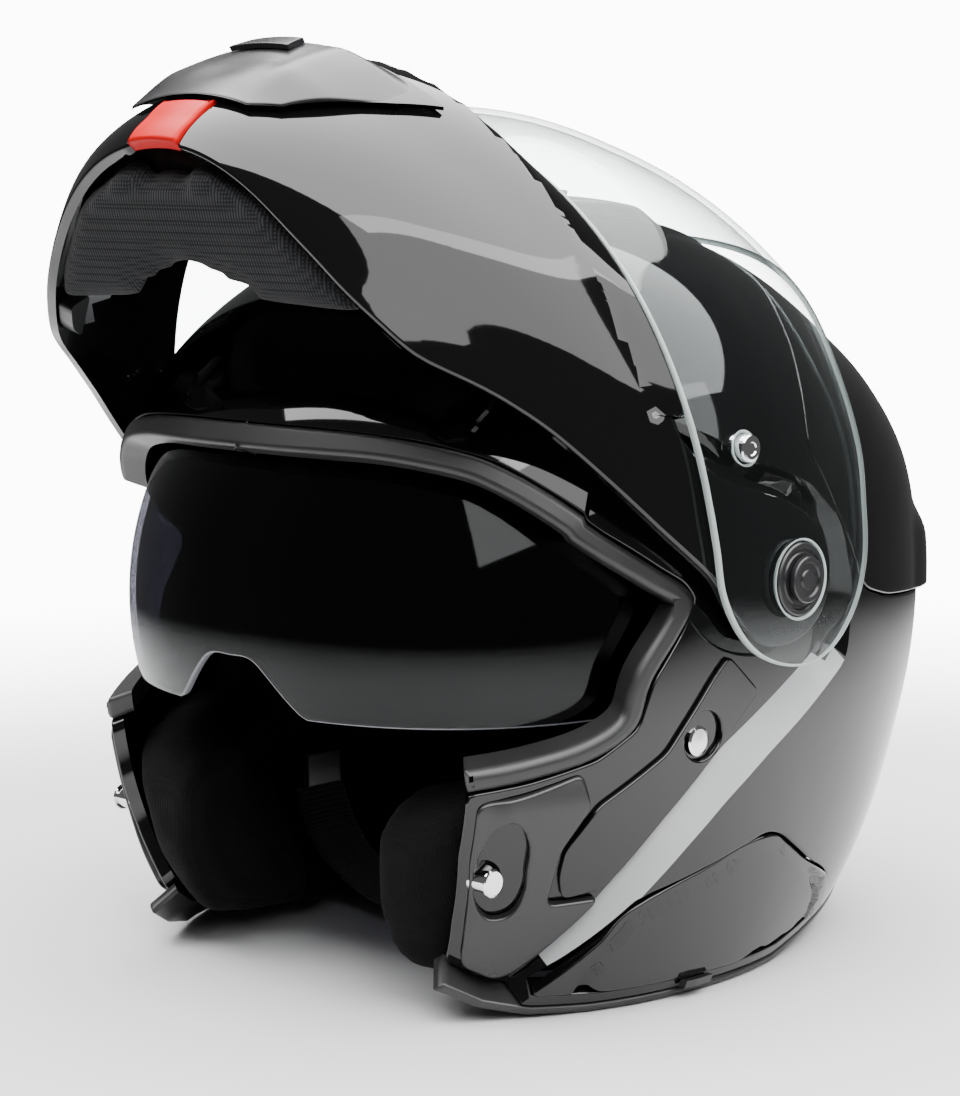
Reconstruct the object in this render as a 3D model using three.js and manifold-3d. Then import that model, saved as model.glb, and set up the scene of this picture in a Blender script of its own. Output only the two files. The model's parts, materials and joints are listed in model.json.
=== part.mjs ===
// Modular motorcycle helmet, chin bar and clear visor raised, sun visor down.
// Millimetres, +Z up, the face opening towards -Y, the wearer's left at +X.
//
// Everything is drawn in the helmet's side view, (f, z): f forwards and z upwards from the pivot
// axis, which runs along X through both temples. Each curved skin is a superellipsoid about that
// axis: its half width across the temples, its exponent, and its radius for each direction in the
// side view. A panel is the layer between two offsets of a skin, cut to a side-view outline.

import * as THREE from 'three';
import { mergeVertices } from 'three/addons/utils/BufferGeometryUtils.js';
import Module from 'manifold-3d';

const wasm = await Module();
wasm.setup();

// ---------------------------------------------------------------- driving dimensions

const RAISED = 80;               // degrees the chin bar has swung up from closed
const PIVOT_HEIGHT = 139;        // pivot axis above the floor
const PIVOT_Y = -0.735;          // pivot axis from the middle of the helmet's length
const FAR = 320;                 // beyond every surface, for cutting
const GAP = 0.35;                // between pieces that touch
const SLOT = 1.5;                // between the sun visor and its slot in the foam
const FACETS = [36, 18];         // of an outer skin, around and across the pivot axis
const INNER_FACETS = [24, 12];   // of a skin behind it

// depths, measured in from a skin
const WALL = 4.5;                // moulded shell
const BAR_WALL = 3.5;            // moulded chin bar
const SEAT = 7.5;                // recess that the chin bar's arms lie in
const POCKET = 3;                // recess behind a cover
const GROOVE = 5;                // air groove across the back
const EPS_OUT = 12.5;            // foam liner's outer face
const EPS_IN = 36;               // foam liner's inner face
const PAD_IN = 45;               // comfort lining's inner face
const LENS = 2;                  // clear visor
const SUN_LENS = 2.2;            // smoked sun visor

// bands round the openings, and small parts
const LIP = 8.5;                 // eyeport gasket
const TRIM = 3;                  // trim under the bottom rim
const SCREW_R = 5;
const HUB_R = 12;
const PIN_R = 3;                 // sun visor's pins
const WEBBING = 1.6;
const SUN_AXIS = { f: 24, z: -15 };

// skin: half width at the pivot, exponent, and [direction in degrees, radius] pairs
const SHELL = { width: 130, power: 2.35, radii: [[0, 138], [30, 127.5], [60, 118], [90, 116.5],
  [110, 119.5], [135, 126], [150, 136.5], [165, 147.5], [180, 152.5], [200, 159.5], [215, 166],
  [235, 182], [255, 196], [270, 205], [285, 203], [301, 190], [318, 178], [335, 163], [348, 150]] };
const BAR = { width: 131, power: 2.05, radii: [[0, 158], [60, 150], [180, 160], [270, 190],
  [300, 198], [308, 198], [315, 204], [324, 210.5], [335, 199], [345, 186], [352, 170]] };
const VISOR = { width: 134, power: 2.35, radii: [[0, 154.5], [10, 146], [20, 139.5], [30, 134],
  [40, 130], [50, 128.5], [70, 134], [90, 143], [120, 154], [180, 162], [270, 200], [320, 190],
  [335, 175], [348, 162]] };
const SUN = { width: 106, power: 2.5, radii: [[0, 104.5], [90, 104.5], [180, 104.5], [270, 104.5]] };

// side-view outlines, [f, z]
const EYEPORT = [[150, 53], [117, 52], [106, 49], [95, 43.5], [71, 21], [52, 7.5], [43, 2],
  [38.5, -4], [44, -14], [56, -30], [61, -45], [75, -54], [97, -60], [113, -63]];
const CHEEK = [[113, -63], [112, -85], [108, -108], [104, -124]];
const RIM = [[104, -124], [92, -131], [78, -135], [60, -136], [-24, -136], [-57, -129],
  [-95, -121], [-126, -117], [-FAR, -117]];
const SEAT_EDGE = [[-26, -28], [3, -44], [24, -56], [47, -79], [62, -97], [84, -130], [95, -150]];
const SEAT_TOP = [[200, 0], [77, 21], [68, 42], [50, 54], [28, 44], [8, 33], [-10, 27], [-24, 14],
  [-30, -8]];
const COVER = [[54, -99], [25, -91], [3, -85], [-5, -87], [-28, -101], [-47, -110], [-56, -125],
  [-24, -132], [60, -132], [82, -130.5]];
const FAIRING = [[-FAR, 150], [-75, 150], [-54, 103], [-32, 83], [-21, 62], [-14, 42], [-26, 20],
  [-36, 2], [-42, -9], [-60, -14], [-98, -18], [-FAR, -18]];
const AIR_GROOVE = [[-95, -19], [-98, -10], [-FAR, -8], [-FAR, -20]];
const ARM_SEAT = [[79, -101], [82, -93], [82, -83], [73, -69], [49, -54], [43, -46], [31, -31],
  [24, -24], [8, -38], [26, -55], [49, -79], [62, -95], [66, -99]];
const LATCH_PLATE = [[84, -102], [84, -83], [76, -68], [80, -57.5], [97, -63], [110, -66],
  [109, -86], [105, -107], [101, -123], [90, -129], [86, -127], [66, -101.5]];
const BAR_LOWER = [[0, -33], [9, -36], [30, -54], [70, -84], [84, -97], [97, -112], [103, -116],
  [119, -123], [140, -127.5], [160, -129], [240, -129]];
const BAR_UPPER = [[240, -38], [80, -38], [62, -40], [54, -40], [40, -28], [22, 4], [14, 17]];
const VISOR_EDGE = [[240, -38], [20, -38], [6, -38], [-8, -33], [-19, -24], [-27, -10], [-30, 5],
  [-27, 18], [-17, 31], [-4, 39], [14, 44], [28, 49], [45, 53], [60, 57], [74, 65], [85, 77],
  [91, 89], [180, 176]];
const SUN_EDGE = [[160, -42], [52, -43], [42, -38], [36, -28], [28, -25], [18, -23], [13, -15],
  [17, -6], [28, -3], [48, 12], [70, 36], [88, 54], [160, 54]];

// places that pieces share
const LATCH = { f: 100, z: -89 };
const STUD = { f: 34, z: -50 };
const LENS_PIN = { f: 48, z: -17 };
const CREASE = -48;              // height of the chin bar's upper crease when closed
const BAR_RIM = -39.5;           // height of its upper rim when closed
const BUTTON = { half: 11.5, high: -111, travel: 3 };
const STRAP_F = 18;

// ---------------------------------------------------------------- skins

// radius for a direction in degrees: a smooth closed curve through the skin's pairs
function radiusAt(radii, degrees) {
  const n = radii.length;
  const turn = ((degrees % 360) + 360) % 360;
  let i = n - 1;
  while (i > 0 && radii[i][0] > turn) i -= 1;
  const pair = (k) => {
    const lap = Math.floor(k / n);
    const [angle, radius] = radii[k - lap * n];
    return [angle + 360 * lap, radius];
  };
  const [[a0, r0], [a1, r1], [a2, r2], [a3, r3]] = [pair(i - 1), pair(i), pair(i + 1), pair(i + 2)];
  const span = a2 - a1;
  const t = ((turn < a1 ? turn + 360 : turn) - a1) / span;
  const m1 = (r2 - r0) / (a2 - a0) * span;
  const m2 = (r3 - r1) / (a3 - a1) * span;
  return (2 * t ** 3 - 3 * t ** 2 + 1) * r1 + (t ** 3 - 2 * t ** 2 + t) * m1
    + (3 * t ** 2 - 2 * t ** 3) * r2 + (t ** 3 - t ** 2) * m2;
}

// half width of an offset skin at a place in the side view
function halfWidth(skin, offset, f, z) {
  const radius = radiusAt(skin.radii, THREE.MathUtils.radToDeg(Math.atan2(z, f))) + offset;
  const inside = 1 - (Math.hypot(f, z) / radius) ** skin.power;
  return (skin.width + offset) * Math.max(inside, 0) ** (1 / skin.power);
}

// the closed solid inside a skin, offset outwards
function skinSolid(skin, offset, facets = FACETS) {
  const sphere = new THREE.SphereGeometry(1, ...facets);
  const place = sphere.attributes.position;
  const point = new THREE.Vector3();
  for (let i = 0; i < place.count; i += 1) {
    point.fromBufferAttribute(place, i);
    const level = Math.hypot(point.x, point.z);
    const angle = Math.atan2(point.z, point.x);
    const side = Math.sign(point.y) * Math.abs(point.y) ** (2 / skin.power);
    const radius = radiusAt(skin.radii, THREE.MathUtils.radToDeg(angle)) + offset;
    const reach = radius * level ** (2 / skin.power);
    place.setXYZ(i, (skin.width + offset) * side, -reach * Math.cos(angle), reach * Math.sin(angle));
  }
  return solid(sphere);
}

// ---------------------------------------------------------------- solids

function solid(geometry) {
  const bare = geometry.clone();
  for (const name of ['normal', 'uv']) bare.deleteAttribute(name);
  const merged = mergeVertices(bare, 1e-4);
  const place = merged.attributes.position.array;
  const corners = merged.index.array;
  const triVerts = [];
  for (let i = 0; i < corners.length; i += 3) {
    const [a, b, c] = [corners[i], corners[i + 1], corners[i + 2]];
    if (a !== b && b !== c && c !== a) triVerts.push(a, b, c);
  }
  return new wasm.Manifold(new wasm.Mesh({
    numProp: 3, vertProperties: new Float32Array(place), triVerts: new Uint32Array(triVerts),
  }));
}

function toGeometry(body) {
  const { vertProperties, triVerts } = body.getMesh();
  const geometry = new THREE.BufferGeometry();
  geometry.setAttribute('position', new THREE.BufferAttribute(new Float32Array(vertProperties), 3));
  geometry.setIndex([...triVerts]);
  geometry.computeVertexNormals();
  return geometry;
}

function extruded(points, depth, basis, origin) {
  const shape = new THREE.Shape(points.map(([a, b]) => new THREE.Vector2(a, b)));
  const geometry = new THREE.ExtrudeGeometry(shape, { depth, bevelEnabled: false });
  const matrix = new THREE.Matrix4().makeBasis(...basis).setPosition(...origin);
  return solid(geometry.applyMatrix4(matrix));
}

// a side-view outline [f, z] carried across from x = from to x = to
function sidePrism(points, from = -FAR, to = FAR) {
  const basis = [new THREE.Vector3(0, -1, 0), new THREE.Vector3(0, 0, 1), new THREE.Vector3(-1, 0, 0)];
  return extruded(points, to - from, basis, [to, 0, 0]);
}

// a front-view outline [x, z] carried forwards from f = from to f = to
function frontPrism(points, from = 0, to = FAR) {
  const basis = [new THREE.Vector3(1, 0, 0), new THREE.Vector3(0, 0, 1), new THREE.Vector3(0, -1, 0)];
  return extruded(points, to - from, basis, [0, -from, 0]);
}

// a plan outline [x, f] carried from z = from up to z = to
function planPrism(points, from, to) {
  const basis = [new THREE.Vector3(1, 0, 0), new THREE.Vector3(0, -1, 0), new THREE.Vector3(0, 0, -1)];
  return extruded(points, to - from, basis, [0, 0, to]);
}

// a round bar along X
function rod(radius, from, to, f, z, sides = 20) {
  const geometry = new THREE.CylinderGeometry(radius, radius, to - from, sides);
  geometry.rotateZ(-Math.PI / 2).translate((from + to) / 2, -f, z);
  return solid(geometry);
}

// a box from its extents in x, f and z
function block([x0, x1], [f0, f1], [z0, z1]) {
  const geometry = new THREE.BoxGeometry(x1 - x0, f1 - f0, z1 - z0);
  return solid(geometry.translate((x0 + x1) / 2, -(f0 + f1) / 2, (z0 + z1) / 2));
}

// the layer of a skin between two offsets
const layer = (skin, outer, inner, facets = FACETS) => (
  skinSolid(skin, outer, facets).subtract(skinSolid(skin, inner, facets)));

// a path moved sideways, to its right, by a distance, with its corners mitred
function shifted(path, distance) {
  const normal = ([f0, z0], [f1, z1]) => {
    const length = Math.hypot(f1 - f0, z1 - z0);
    return [(z1 - z0) / length, (f0 - f1) / length];
  };
  return path.map(([f, z], i) => {
    const into = normal(path[Math.max(i - 1, 0)], path[Math.max(i, 1)]);
    const out = normal(path[Math.min(i, path.length - 2)], path[Math.min(i + 1, path.length - 1)]);
    const mitre = distance / (1 + into[0] * out[0] + into[1] * out[1]);
    return [f + (into[0] + out[0]) * mitre, z + (into[1] + out[1]) * mitre];
  });
}

// an outline grown outwards all round
function grown(outline, distance) {
  const clockwise = THREE.ShapeUtils.area(outline.map(([a, b]) => new THREE.Vector2(a, b))) < 0;
  const loop = [outline.at(-1), ...outline, outline[0]];
  return shifted(loop, clockwise ? -distance : distance).slice(1, -1);
}

const circle = (radius, f, z, count = 28) => Array.from({ length: count }, (_, i) => {
  const angle = i / count * 2 * Math.PI;
  return [f + radius * Math.cos(angle), z + radius * Math.sin(angle)];
});

// ---------------------------------------------------------------- finishes

const finish = (color, roughness, metalness = 0, opacity = 1) => new THREE.MeshStandardMaterial({
  color, roughness, metalness, opacity, transparent: opacity < 1,
});
const GLOSS_BLACK = finish(0x08080a, 0.08);
const SATIN_BLACK = finish(0x18181a, 0.4);
const RUBBER = finish(0x101011, 0.7);
const FOAM = finish(0x1c1c1e, 0.9);
const FABRIC = finish(0x151517, 0.95);
const MESH_FABRIC = finish(0x3a3b3d, 0.9);
const CHROME = finish(0xd8d8da, 0.1, 1);
const STEEL = finish(0x9a9a9c, 0.35, 1);
const RED = finish(0xc4060c, 0.15);
const CLEAR = finish(0xdfe8e4, 0.03, 0, 0.25);
const SMOKED = finish(0x1b1b22, 0.05, 0, 0.75);

// ---------------------------------------------------------------- assembly

const helmet = new THREE.Group();
const still = new THREE.Group();
const barGroup = new THREE.Group();
helmet.add(still, barGroup);
helmet.position.set(0, PIVOT_Y, PIVOT_HEIGHT);
barGroup.rotation.x = -THREE.MathUtils.degToRad(RAISED);

function add(group, name, body, material) {
  const mesh = new THREE.Mesh(toGeometry(body), material);
  mesh.name = name;
  group.add(mesh);
}

// a piece on the left side, and its mirror image on the right
function addPair(group, name, body, material) {
  add(group, `${name}_left`, body, material);
  const mirrored = toGeometry(body).scale(-1, 1, 1);
  const corners = mirrored.index.array;
  for (let i = 0; i < corners.length; i += 3) {
    [corners[i], corners[i + 1]] = [corners[i + 1], corners[i]];
  }
  const mesh = new THREE.Mesh(mirrored, material);
  mirrored.computeVertexNormals();
  mesh.name = `${name}_right`;
  group.add(mesh);
}

// the part of the shell that is kept: everything above and behind this boundary
const openEdge = [...EYEPORT, ...CHEEK.slice(1), ...RIM.slice(1)];
const shellRegion = sidePrism([...openEdge, [-FAR, FAR], [FAR, FAR], [FAR, 53]]);
const seatOutline = [...SEAT_EDGE, [FAR, -150], [FAR, 0], ...SEAT_TOP];
const pockets = [
  { outline: seatOutline, depth: SEAT },
  { outline: AIR_GROOVE, depth: GROOVE },
  { outline: COVER, depth: POCKET },
  { outline: FAIRING, depth: POCKET },
];

// the shell's outer skin with its recesses sunk in, moved in or out all over by a margin
function recessedSkin(margin, growth, facets = FACETS) {
  const sink = (body, { outline, depth }) => body.subtract(
    sidePrism(growth ? grown(outline, growth) : outline).subtract(
      skinSolid(SHELL, margin - depth, facets)));
  return pockets.reduce(sink, skinSolid(SHELL, margin, facets));
}

// outer shell, with a hole on each side for the pivot screw
const screwHole = rod(SCREW_R + GAP, -FAR, FAR, 0, 0);
const latchHole = rod(4, -FAR, FAR, LATCH.f, LATCH.z);
const studSeat = rod(5.4, 117.5, FAR, STUD.f, STUD.z);
const studHole = rod(3, -FAR, FAR, STUD.f, STUD.z).add(studSeat).add(studSeat.mirror([1, 0, 0]));
const shell = recessedSkin(0, 0).subtract(recessedSkin(-WALL, WALL - 1, INNER_FACETS))
  .intersect(shellRegion)
  .subtract(screwHole).subtract(latchHole).subtract(studHole);
add(still, 'outer_shell', shell, GLOSS_BLACK);

// rubber lip round the eyeport, and the trim along the bottom rim
const lipBand = sidePrism([...shifted(EYEPORT, -GAP), ...shifted(EYEPORT, -LIP).reverse()]);
add(still, 'eyeport_gasket', recessedSkin(0.8, 0).subtract(skinSolid(SHELL, -9))
  .intersect(lipBand), RUBBER);
const trimBand = sidePrism([...shifted(RIM, -GAP), ...shifted(RIM, -TRIM).reverse()]);
add(still, 'bottom_trim', layer(SHELL, 0.6, 1 - EPS_OUT).intersect(trimBand), RUBBER);

// covers that sit in the shell's pockets
const half = (points) => sidePrism(points, 0, FAR);
addPair(still, 'side_cover', layer(SHELL, 1, GAP - POCKET).intersect(half(grown(COVER, -GAP))),
  GLOSS_BLACK);
const fairingRegion = sidePrism(grown(FAIRING, -GAP));
const fairingLip = sidePrism([[-98, -17.5], [-112, 2], [-FAR, 8], [-FAR, -17.5]]);
add(still, 'rear_fairing', layer(SHELL, 0.1, GAP - POCKET).intersect(fairingRegion)
  .add(layer(SHELL, 4, -1).intersect(fairingLip)), GLOSS_BLACK);
add(still, 'rear_grille', layer(SHELL, -POCKET - 0.2, GAP - GROOVE).intersect(
  sidePrism(grown(AIR_GROOVE, -GAP))).intersect(sidePrism([[-99, -30], [-99, 0], [-FAR, 0],
  [-FAR, -30]])), SATIN_BLACK);

// panels on the seat: the arm seat with its stud, the latch plate with its pin
const bean = [[94, -80], [99, -72], [104, -74], [107, -84], [106, -96], [100, -105], [94, -104],
  [92, -96], [93, -89]];
const armSeat = layer(SHELL, 1.5 - SEAT, GAP - SEAT).intersect(half(ARM_SEAT))
  .subtract(rod(8.5, 0, FAR, STUD.f, STUD.z)).subtract(rod(27, 0, FAR, 0, 0));
addPair(still, 'arm_seat', armSeat, GLOSS_BLACK);
const latchPlate = layer(SHELL, 2.7 - SEAT, GAP - SEAT).intersect(half(LATCH_PLATE))
  .subtract(half(bean));
addPair(still, 'latch_plate', latchPlate, SATIN_BLACK);
addPair(still, 'latch_pin', rod(3.6, 81.6, 90.6, LATCH.f, LATCH.z).add(
  rod(4.6, 90.2, 91.2, LATCH.f, LATCH.z)), CHROME);
addPair(still, 'side_stud', rod(2.6, 113.8, 118.2, STUD.f, STUD.z).add(
  rod(5, 117.8, 119.6, STUD.f, STUD.z)), CHROME);

// hinge: a steel plate behind the shell and the screw that both swinging parts turn on
const hingePlate = rod(16, 112.2, 115.8, 0, 0, 32).subtract(rod(SCREW_R + GAP, 100, FAR, 0, 0));
addPair(still, 'hinge_plate', hingePlate, STEEL);
addPair(still, 'pivot_screw', rod(SCREW_R, 112.6, 134.9, 0, 0).add(rod(7.6, 134.6, 137, 0, 0)),
  SATIN_BLACK);

// crown vent and its slider
const crownOutline = [[-16, 24], [16, 24], [30, 4], [38, -24], [30, -50], [-30, -50], [-38, -24],
  [-30, 4]];
add(still, 'crown_vent', layer(SHELL, 6, 0.4).intersect(planPrism(crownOutline, 60, 160)),
  SATIN_BLACK);
const crownSlider = [[-9, -12], [9, -12], [9, -24], [-9, -24]];
add(still, 'crown_vent_slider', layer(SHELL, 8, 6.35).intersect(planPrism(crownSlider, 60, 160)),
  SATIN_BLACK);

// ---------------------------------------------------------------- sun visor

const sunFrame = new THREE.Vector3(0, -SUN_AXIS.f, SUN_AXIS.z);
const sunSkin = (offset) => skinSolid(SUN, offset, INNER_FACETS).translate(sunFrame.toArray());

// a wedge in the side view, from the sun visor's axis outwards
function sunSector(from, to) {
  const points = [[SUN_AXIS.f, SUN_AXIS.z]];
  for (let angle = from; angle <= to; angle += (to - from) / 8) {
    const radians = THREE.MathUtils.degToRad(angle);
    points.push([SUN_AXIS.f + FAR * Math.cos(radians), SUN_AXIS.z + FAR * Math.sin(radians)]);
  }
  return sidePrism(points);
}

const sunPinHole = rod(PIN_R + GAP, -FAR, FAR, SUN_AXIS.f, SUN_AXIS.z);
const sunLens = sunSkin(0).subtract(sunSkin(-SUN_LENS)).intersect(sidePrism(SUN_EDGE));
const noseCut = frontPrism([[-29, -60], [-29, -43], [-26, -40], [-12, -25], [-8, -23.5], [8, -23.5],
  [12, -25], [26, -40], [29, -43], [29, -60]]);
add(still, 'sun_visor_lens', sunLens.subtract(noseCut).subtract(sunPinHole), SMOKED);
addPair(still, 'sun_visor_pin', rod(PIN_R, 97, 112, SUN_AXIS.f, SUN_AXIS.z), STEEL);
const knob = [[16, -135.4], [16, -132.6], [28, -132.6], [28, -135.4]];
add(still, 'sun_visor_slider', layer(SHELL, 3.8, 1.2).intersect(half(knob)), SATIN_BLACK);

// ---------------------------------------------------------------- lining

const epsEdge = [[150, 62], [112, 60], [92, 54], [66, 32], [44, 14], [30, 4], [27, -8], [33, -24],
  [46, -38], [50, -60], [50, -118], [0, -118], [-126, -112], [-FAR, -112], [-FAR, FAR], [FAR, FAR],
  [FAR, 62]];
const slotInner = sunSkin(-SUN_LENS - SLOT);
const pinBoss = rod(23, 101, 108, SUN_AXIS.f, SUN_AXIS.z);
const eps = layer(SHELL, -EPS_OUT, -EPS_IN, INNER_FACETS).intersect(sidePrism(epsEdge))
  .subtract(sunSector(-64, 72).subtract(slotInner))
  .subtract(sunSector(71, 112).intersect(sunSkin(SLOT).subtract(slotInner)))
  .subtract(pinBoss).subtract(pinBoss.mirror([1, 0, 0])).subtract(sunPinHole)
  .subtract(rod(18, 111.4, FAR, 0, 0)).subtract(rod(18, -FAR, -111.4, 0, 0));
add(still, 'eps_liner', eps, FOAM);
const crownPad = sidePrism([[76, 50], [50, 36], [-60, 8], [-FAR, 0], [-FAR, FAR], [90, FAR],
  [90, 58]]);
add(still, 'crown_pad', layer(SHELL, -EPS_IN - 0.5, -PAD_IN, INNER_FACETS).intersect(crownPad), FABRIC);
const cheek = [[51, -57], [62, -60], [82, -64], [100, -69], [109, -78], [110, -100], [103, -118],
  [94, -126], [51, -130]];
addPair(still, 'cheek_pad', layer(SHELL, -EPS_OUT - 0.2, -PAD_IN - 4, INNER_FACETS).intersect(
  sidePrism(cheek, 46, FAR)), FABRIC);
const neck = [[49.5, -119], [49.5, -133], [-40, -133.5], [-100, -122], [-FAR, -118], [-FAR, -113],
  [-126, -113], [0, -119]];
add(still, 'neck_roll', layer(SHELL, -EPS_OUT - 0.2, -PAD_IN + 5, INNER_FACETS).intersect(
  sidePrism(neck)), FABRIC);

// ---------------------------------------------------------------- chin strap

function webbing(path) {
  const outline = [...shifted(path, WEBBING / 2), ...shifted(path, -WEBBING / 2).reverse()];
  return frontPrism(outline, STRAP_F - 12, STRAP_F + 12);
}
const strapTop = [78, -96];
const strapPath = [strapTop, [70, -112], [58, -123], [40, -131], [27, -133.5]];
addPair(still, 'chin_strap', webbing(strapPath), FABRIC);
addPair(still, 'strap_anchor', block([74, 77], [STRAP_F - 8, STRAP_F + 8], [-95.6, -84]), STEEL);
add(still, 'buckle_base', block([-13, 26.2], [STRAP_F - 13, STRAP_F + 13], [-136, -132]), STEEL);
add(still, 'buckle_tongue', block([-26.2, -13.4], [STRAP_F - 9, STRAP_F + 9], [-135, -133]),
  SATIN_BLACK);
add(still, 'buckle_lever', block([-10, 22], [STRAP_F - 10, STRAP_F + 10], [-131.6, -128.6]), RED);

// ---------------------------------------------------------------- chin bar

// distance from the vertical axis to a skin, in a direction in plan
function planReach(skin, offset, angle, z) {
  let [low, high] = [0, FAR];
  for (let i = 0; i < 40; i += 1) {
    const middle = (low + high) / 2;
    const [x, f] = [middle * Math.sin(angle), middle * Math.cos(angle)];
    if (Math.abs(x) < halfWidth(skin, offset, f, z)) low = middle;
    else high = middle;
  }
  return low;
}

// the solid between two level rings, each given by its height and its reach for a direction
function ringLoft(rings, count = 96) {
  const places = [];
  for (const { z, reach } of rings) {
    places.push(0, 0, z);
    for (let i = 0; i < count; i += 1) {
      const angle = i / count * 2 * Math.PI;
      const distance = reach(angle);
      places.push(distance * Math.sin(angle), -distance * Math.cos(angle), z);
    }
  }
  const top = count + 1;
  const index = [];
  for (let i = 0; i < count; i += 1) {
    const [a, b] = [1 + i, 1 + (i + 1) % count];
    index.push(0, b, a, top, top + a, top + b, a, b, top + b, a, top + b, top + a);
  }
  const geometry = new THREE.BufferGeometry();
  geometry.setAttribute('position', new THREE.BufferAttribute(new Float32Array(places), 3));
  geometry.setIndex(index);
  return solid(geometry);
}

const barOutline = [...BAR_LOWER, ...BAR_UPPER, ...circle(22, 0, 0).slice(4, 20)];
const armRear = 66;              // the upper rim's slope starts in front of this
const rimFront = sidePrism([[armRear, CREASE - 5], [FAR, CREASE - 5], [FAR, 0], [armRear, 0]]);
const aboveCrease = sidePrism([[armRear, CREASE], [FAR, CREASE], [FAR, 0], [armRear, 0]]);
function barSolid(offset) {
  const rimReach = (angle) => offset + Math.min(planReach(VISOR, -1, angle, BAR_RIM),
    planReach(BAR, 0, angle, BAR_RIM));
  const low = CREASE - (offset < 0 ? 2 : 0);
  const slope = ringLoft([
    { z: low, reach: (angle) => planReach(BAR, offset, angle, low) },
    { z: BAR_RIM + (offset < 0 ? 1 : 0), reach: rimReach },
  ]);
  return skinSolid(BAR, offset).subtract(aboveCrease).add(slope.intersect(rimFront));
}
const buttonFace = (margin) => {
  const [side, top] = [BUTTON.half + margin, BUTTON.high + margin];
  return frontPrism([[-side, -150], [side, -150], [side, top], [-side, top]], 140);
};
const barShell = barSolid(0).subtract(barSolid(-BAR_WALL)).intersect(sidePrism(barOutline))
  .subtract(screwHole).subtract(buttonFace(GAP));
add(barGroup, 'chin_bar_shell', barShell, GLOSS_BLACK);

const padEdge = [[113.5, -119.6], [119, -122], [140, -126.5], [160, -128], [240, -128],
  [240, -119.5], [160, -119.5], [140, -118], [113.5, -112]];
const buttonRoom = buttonFace(1)
  .intersect(layer(BAR, 0, -BAR_WALL - BUTTON.travel - 1.5));
add(barGroup, 'chin_mesh_pad', layer(BAR, -BAR_WALL - GAP, -30).intersect(sidePrism(padEdge))
  .subtract(buttonRoom), MESH_FABRIC);
const linerEdge = [[121, -112.5], [140, -117.4], [160, -118.9], [240, -118.9], [240, -54],
  [121, -54]];
const hookRoom = block([84, 97], [110, 126], [-102, -72]);
add(barGroup, 'chin_liner', layer(BAR, -BAR_WALL - GAP, -26).intersect(sidePrism(linerEdge))
  .subtract(buttonRoom).subtract(hookRoom).subtract(hookRoom.mirror([1, 0, 0])), FOAM);
const armCap = [[99, -106], [112.5, -100], [112.5, -119], [104, -115.2]];
addPair(barGroup, 'arm_cap', layer(BAR, -BAR_WALL - GAP, -9).intersect(half(armCap)), SATIN_BLACK);

add(barGroup, 'release_button', layer(BAR, 1.5, -BAR_WALL).intersect(buttonFace(0))
  .intersect(sidePrism(barOutline)), RED);
const hook = [[98, -98], [104.2, -98.5], [108, -94], [118, -88], [120, -80], [114, -78],
  [104.4, -86], [104.2, -94.3], [98, -94.3]];
addPair(barGroup, 'latch_hook', sidePrism(hook, 87.4, 89.8).intersect(
  skinSolid(BAR, -BAR_WALL - 2.8)), STEEL);

const ventOutline = [[-60, -60], [60, -60], [53, -74], [35, -104], [26, -109.5], [-26, -109.5],
  [-35, -104], [-53, -74]];
add(barGroup, 'chin_vent', layer(BAR, 7, 0.4).intersect(frontPrism(ventOutline, 100)), SATIN_BLACK);
const shutter = [[-13, -76], [13, -76], [11, -67], [-11, -67]];
add(barGroup, 'chin_vent_shutter', layer(BAR, 9, 7.35).intersect(frontPrism(shutter, 100)),
  SATIN_BLACK);

// ---------------------------------------------------------------- clear visor

const lens = layer(VISOR, 0, -LENS).intersect(sidePrism(VISOR_EDGE))
  .subtract(rod(HUB_R + GAP, -FAR, FAR, 0, 0, 32))
  .subtract(rod(4.5 + GAP, -FAR, FAR, LENS_PIN.f, LENS_PIN.z));
add(barGroup, 'visor_lens', lens, CLEAR);
addPair(barGroup, 'visor_hub', rod(HUB_R, 131.9, 134.2, 0, 0, 32).subtract(
  rod(SCREW_R + GAP, 0, FAR, 0, 0)), SATIN_BLACK);
addPair(barGroup, 'lens_pin', rod(4.5, 127, 133.4, LENS_PIN.f, LENS_PIN.z), CHROME);

export default helmet;
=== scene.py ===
"""Modular motorcycle helmet, chin bar and clear visor raised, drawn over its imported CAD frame.

Outlines are in millimetres in the helmet's side view, (f, z): f forwards and z upwards from the
pivot axis, with the chin bar closed. Each curved skin is a superellipsoid about that axis, and a
panel is a patch of a skin with a thickness and rounded rims. Every panel is laid out in the skin's
chart: a disc with the temple at its middle and the helmet's centre plane as its edge.
"""
import json
import math

import bpy
import numpy as np
from mathutils import Matrix, Vector, kdtree
from mathutils.geometry import delaunay_2d_cdt


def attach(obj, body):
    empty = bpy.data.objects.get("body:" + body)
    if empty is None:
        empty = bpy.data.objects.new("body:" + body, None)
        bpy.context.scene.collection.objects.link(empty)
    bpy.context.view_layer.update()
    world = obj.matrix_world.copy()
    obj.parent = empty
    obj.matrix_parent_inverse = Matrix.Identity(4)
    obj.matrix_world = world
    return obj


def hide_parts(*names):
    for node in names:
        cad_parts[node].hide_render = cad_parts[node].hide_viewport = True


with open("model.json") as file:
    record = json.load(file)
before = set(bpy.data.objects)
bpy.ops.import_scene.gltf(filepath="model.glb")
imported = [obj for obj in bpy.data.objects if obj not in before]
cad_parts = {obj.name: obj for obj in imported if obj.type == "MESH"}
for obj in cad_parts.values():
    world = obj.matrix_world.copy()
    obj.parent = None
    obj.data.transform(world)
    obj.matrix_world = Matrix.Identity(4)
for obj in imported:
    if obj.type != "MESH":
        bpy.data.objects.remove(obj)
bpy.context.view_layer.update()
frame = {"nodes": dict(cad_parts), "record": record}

# ---------------------------------------------------------------- the frame's own places

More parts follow.
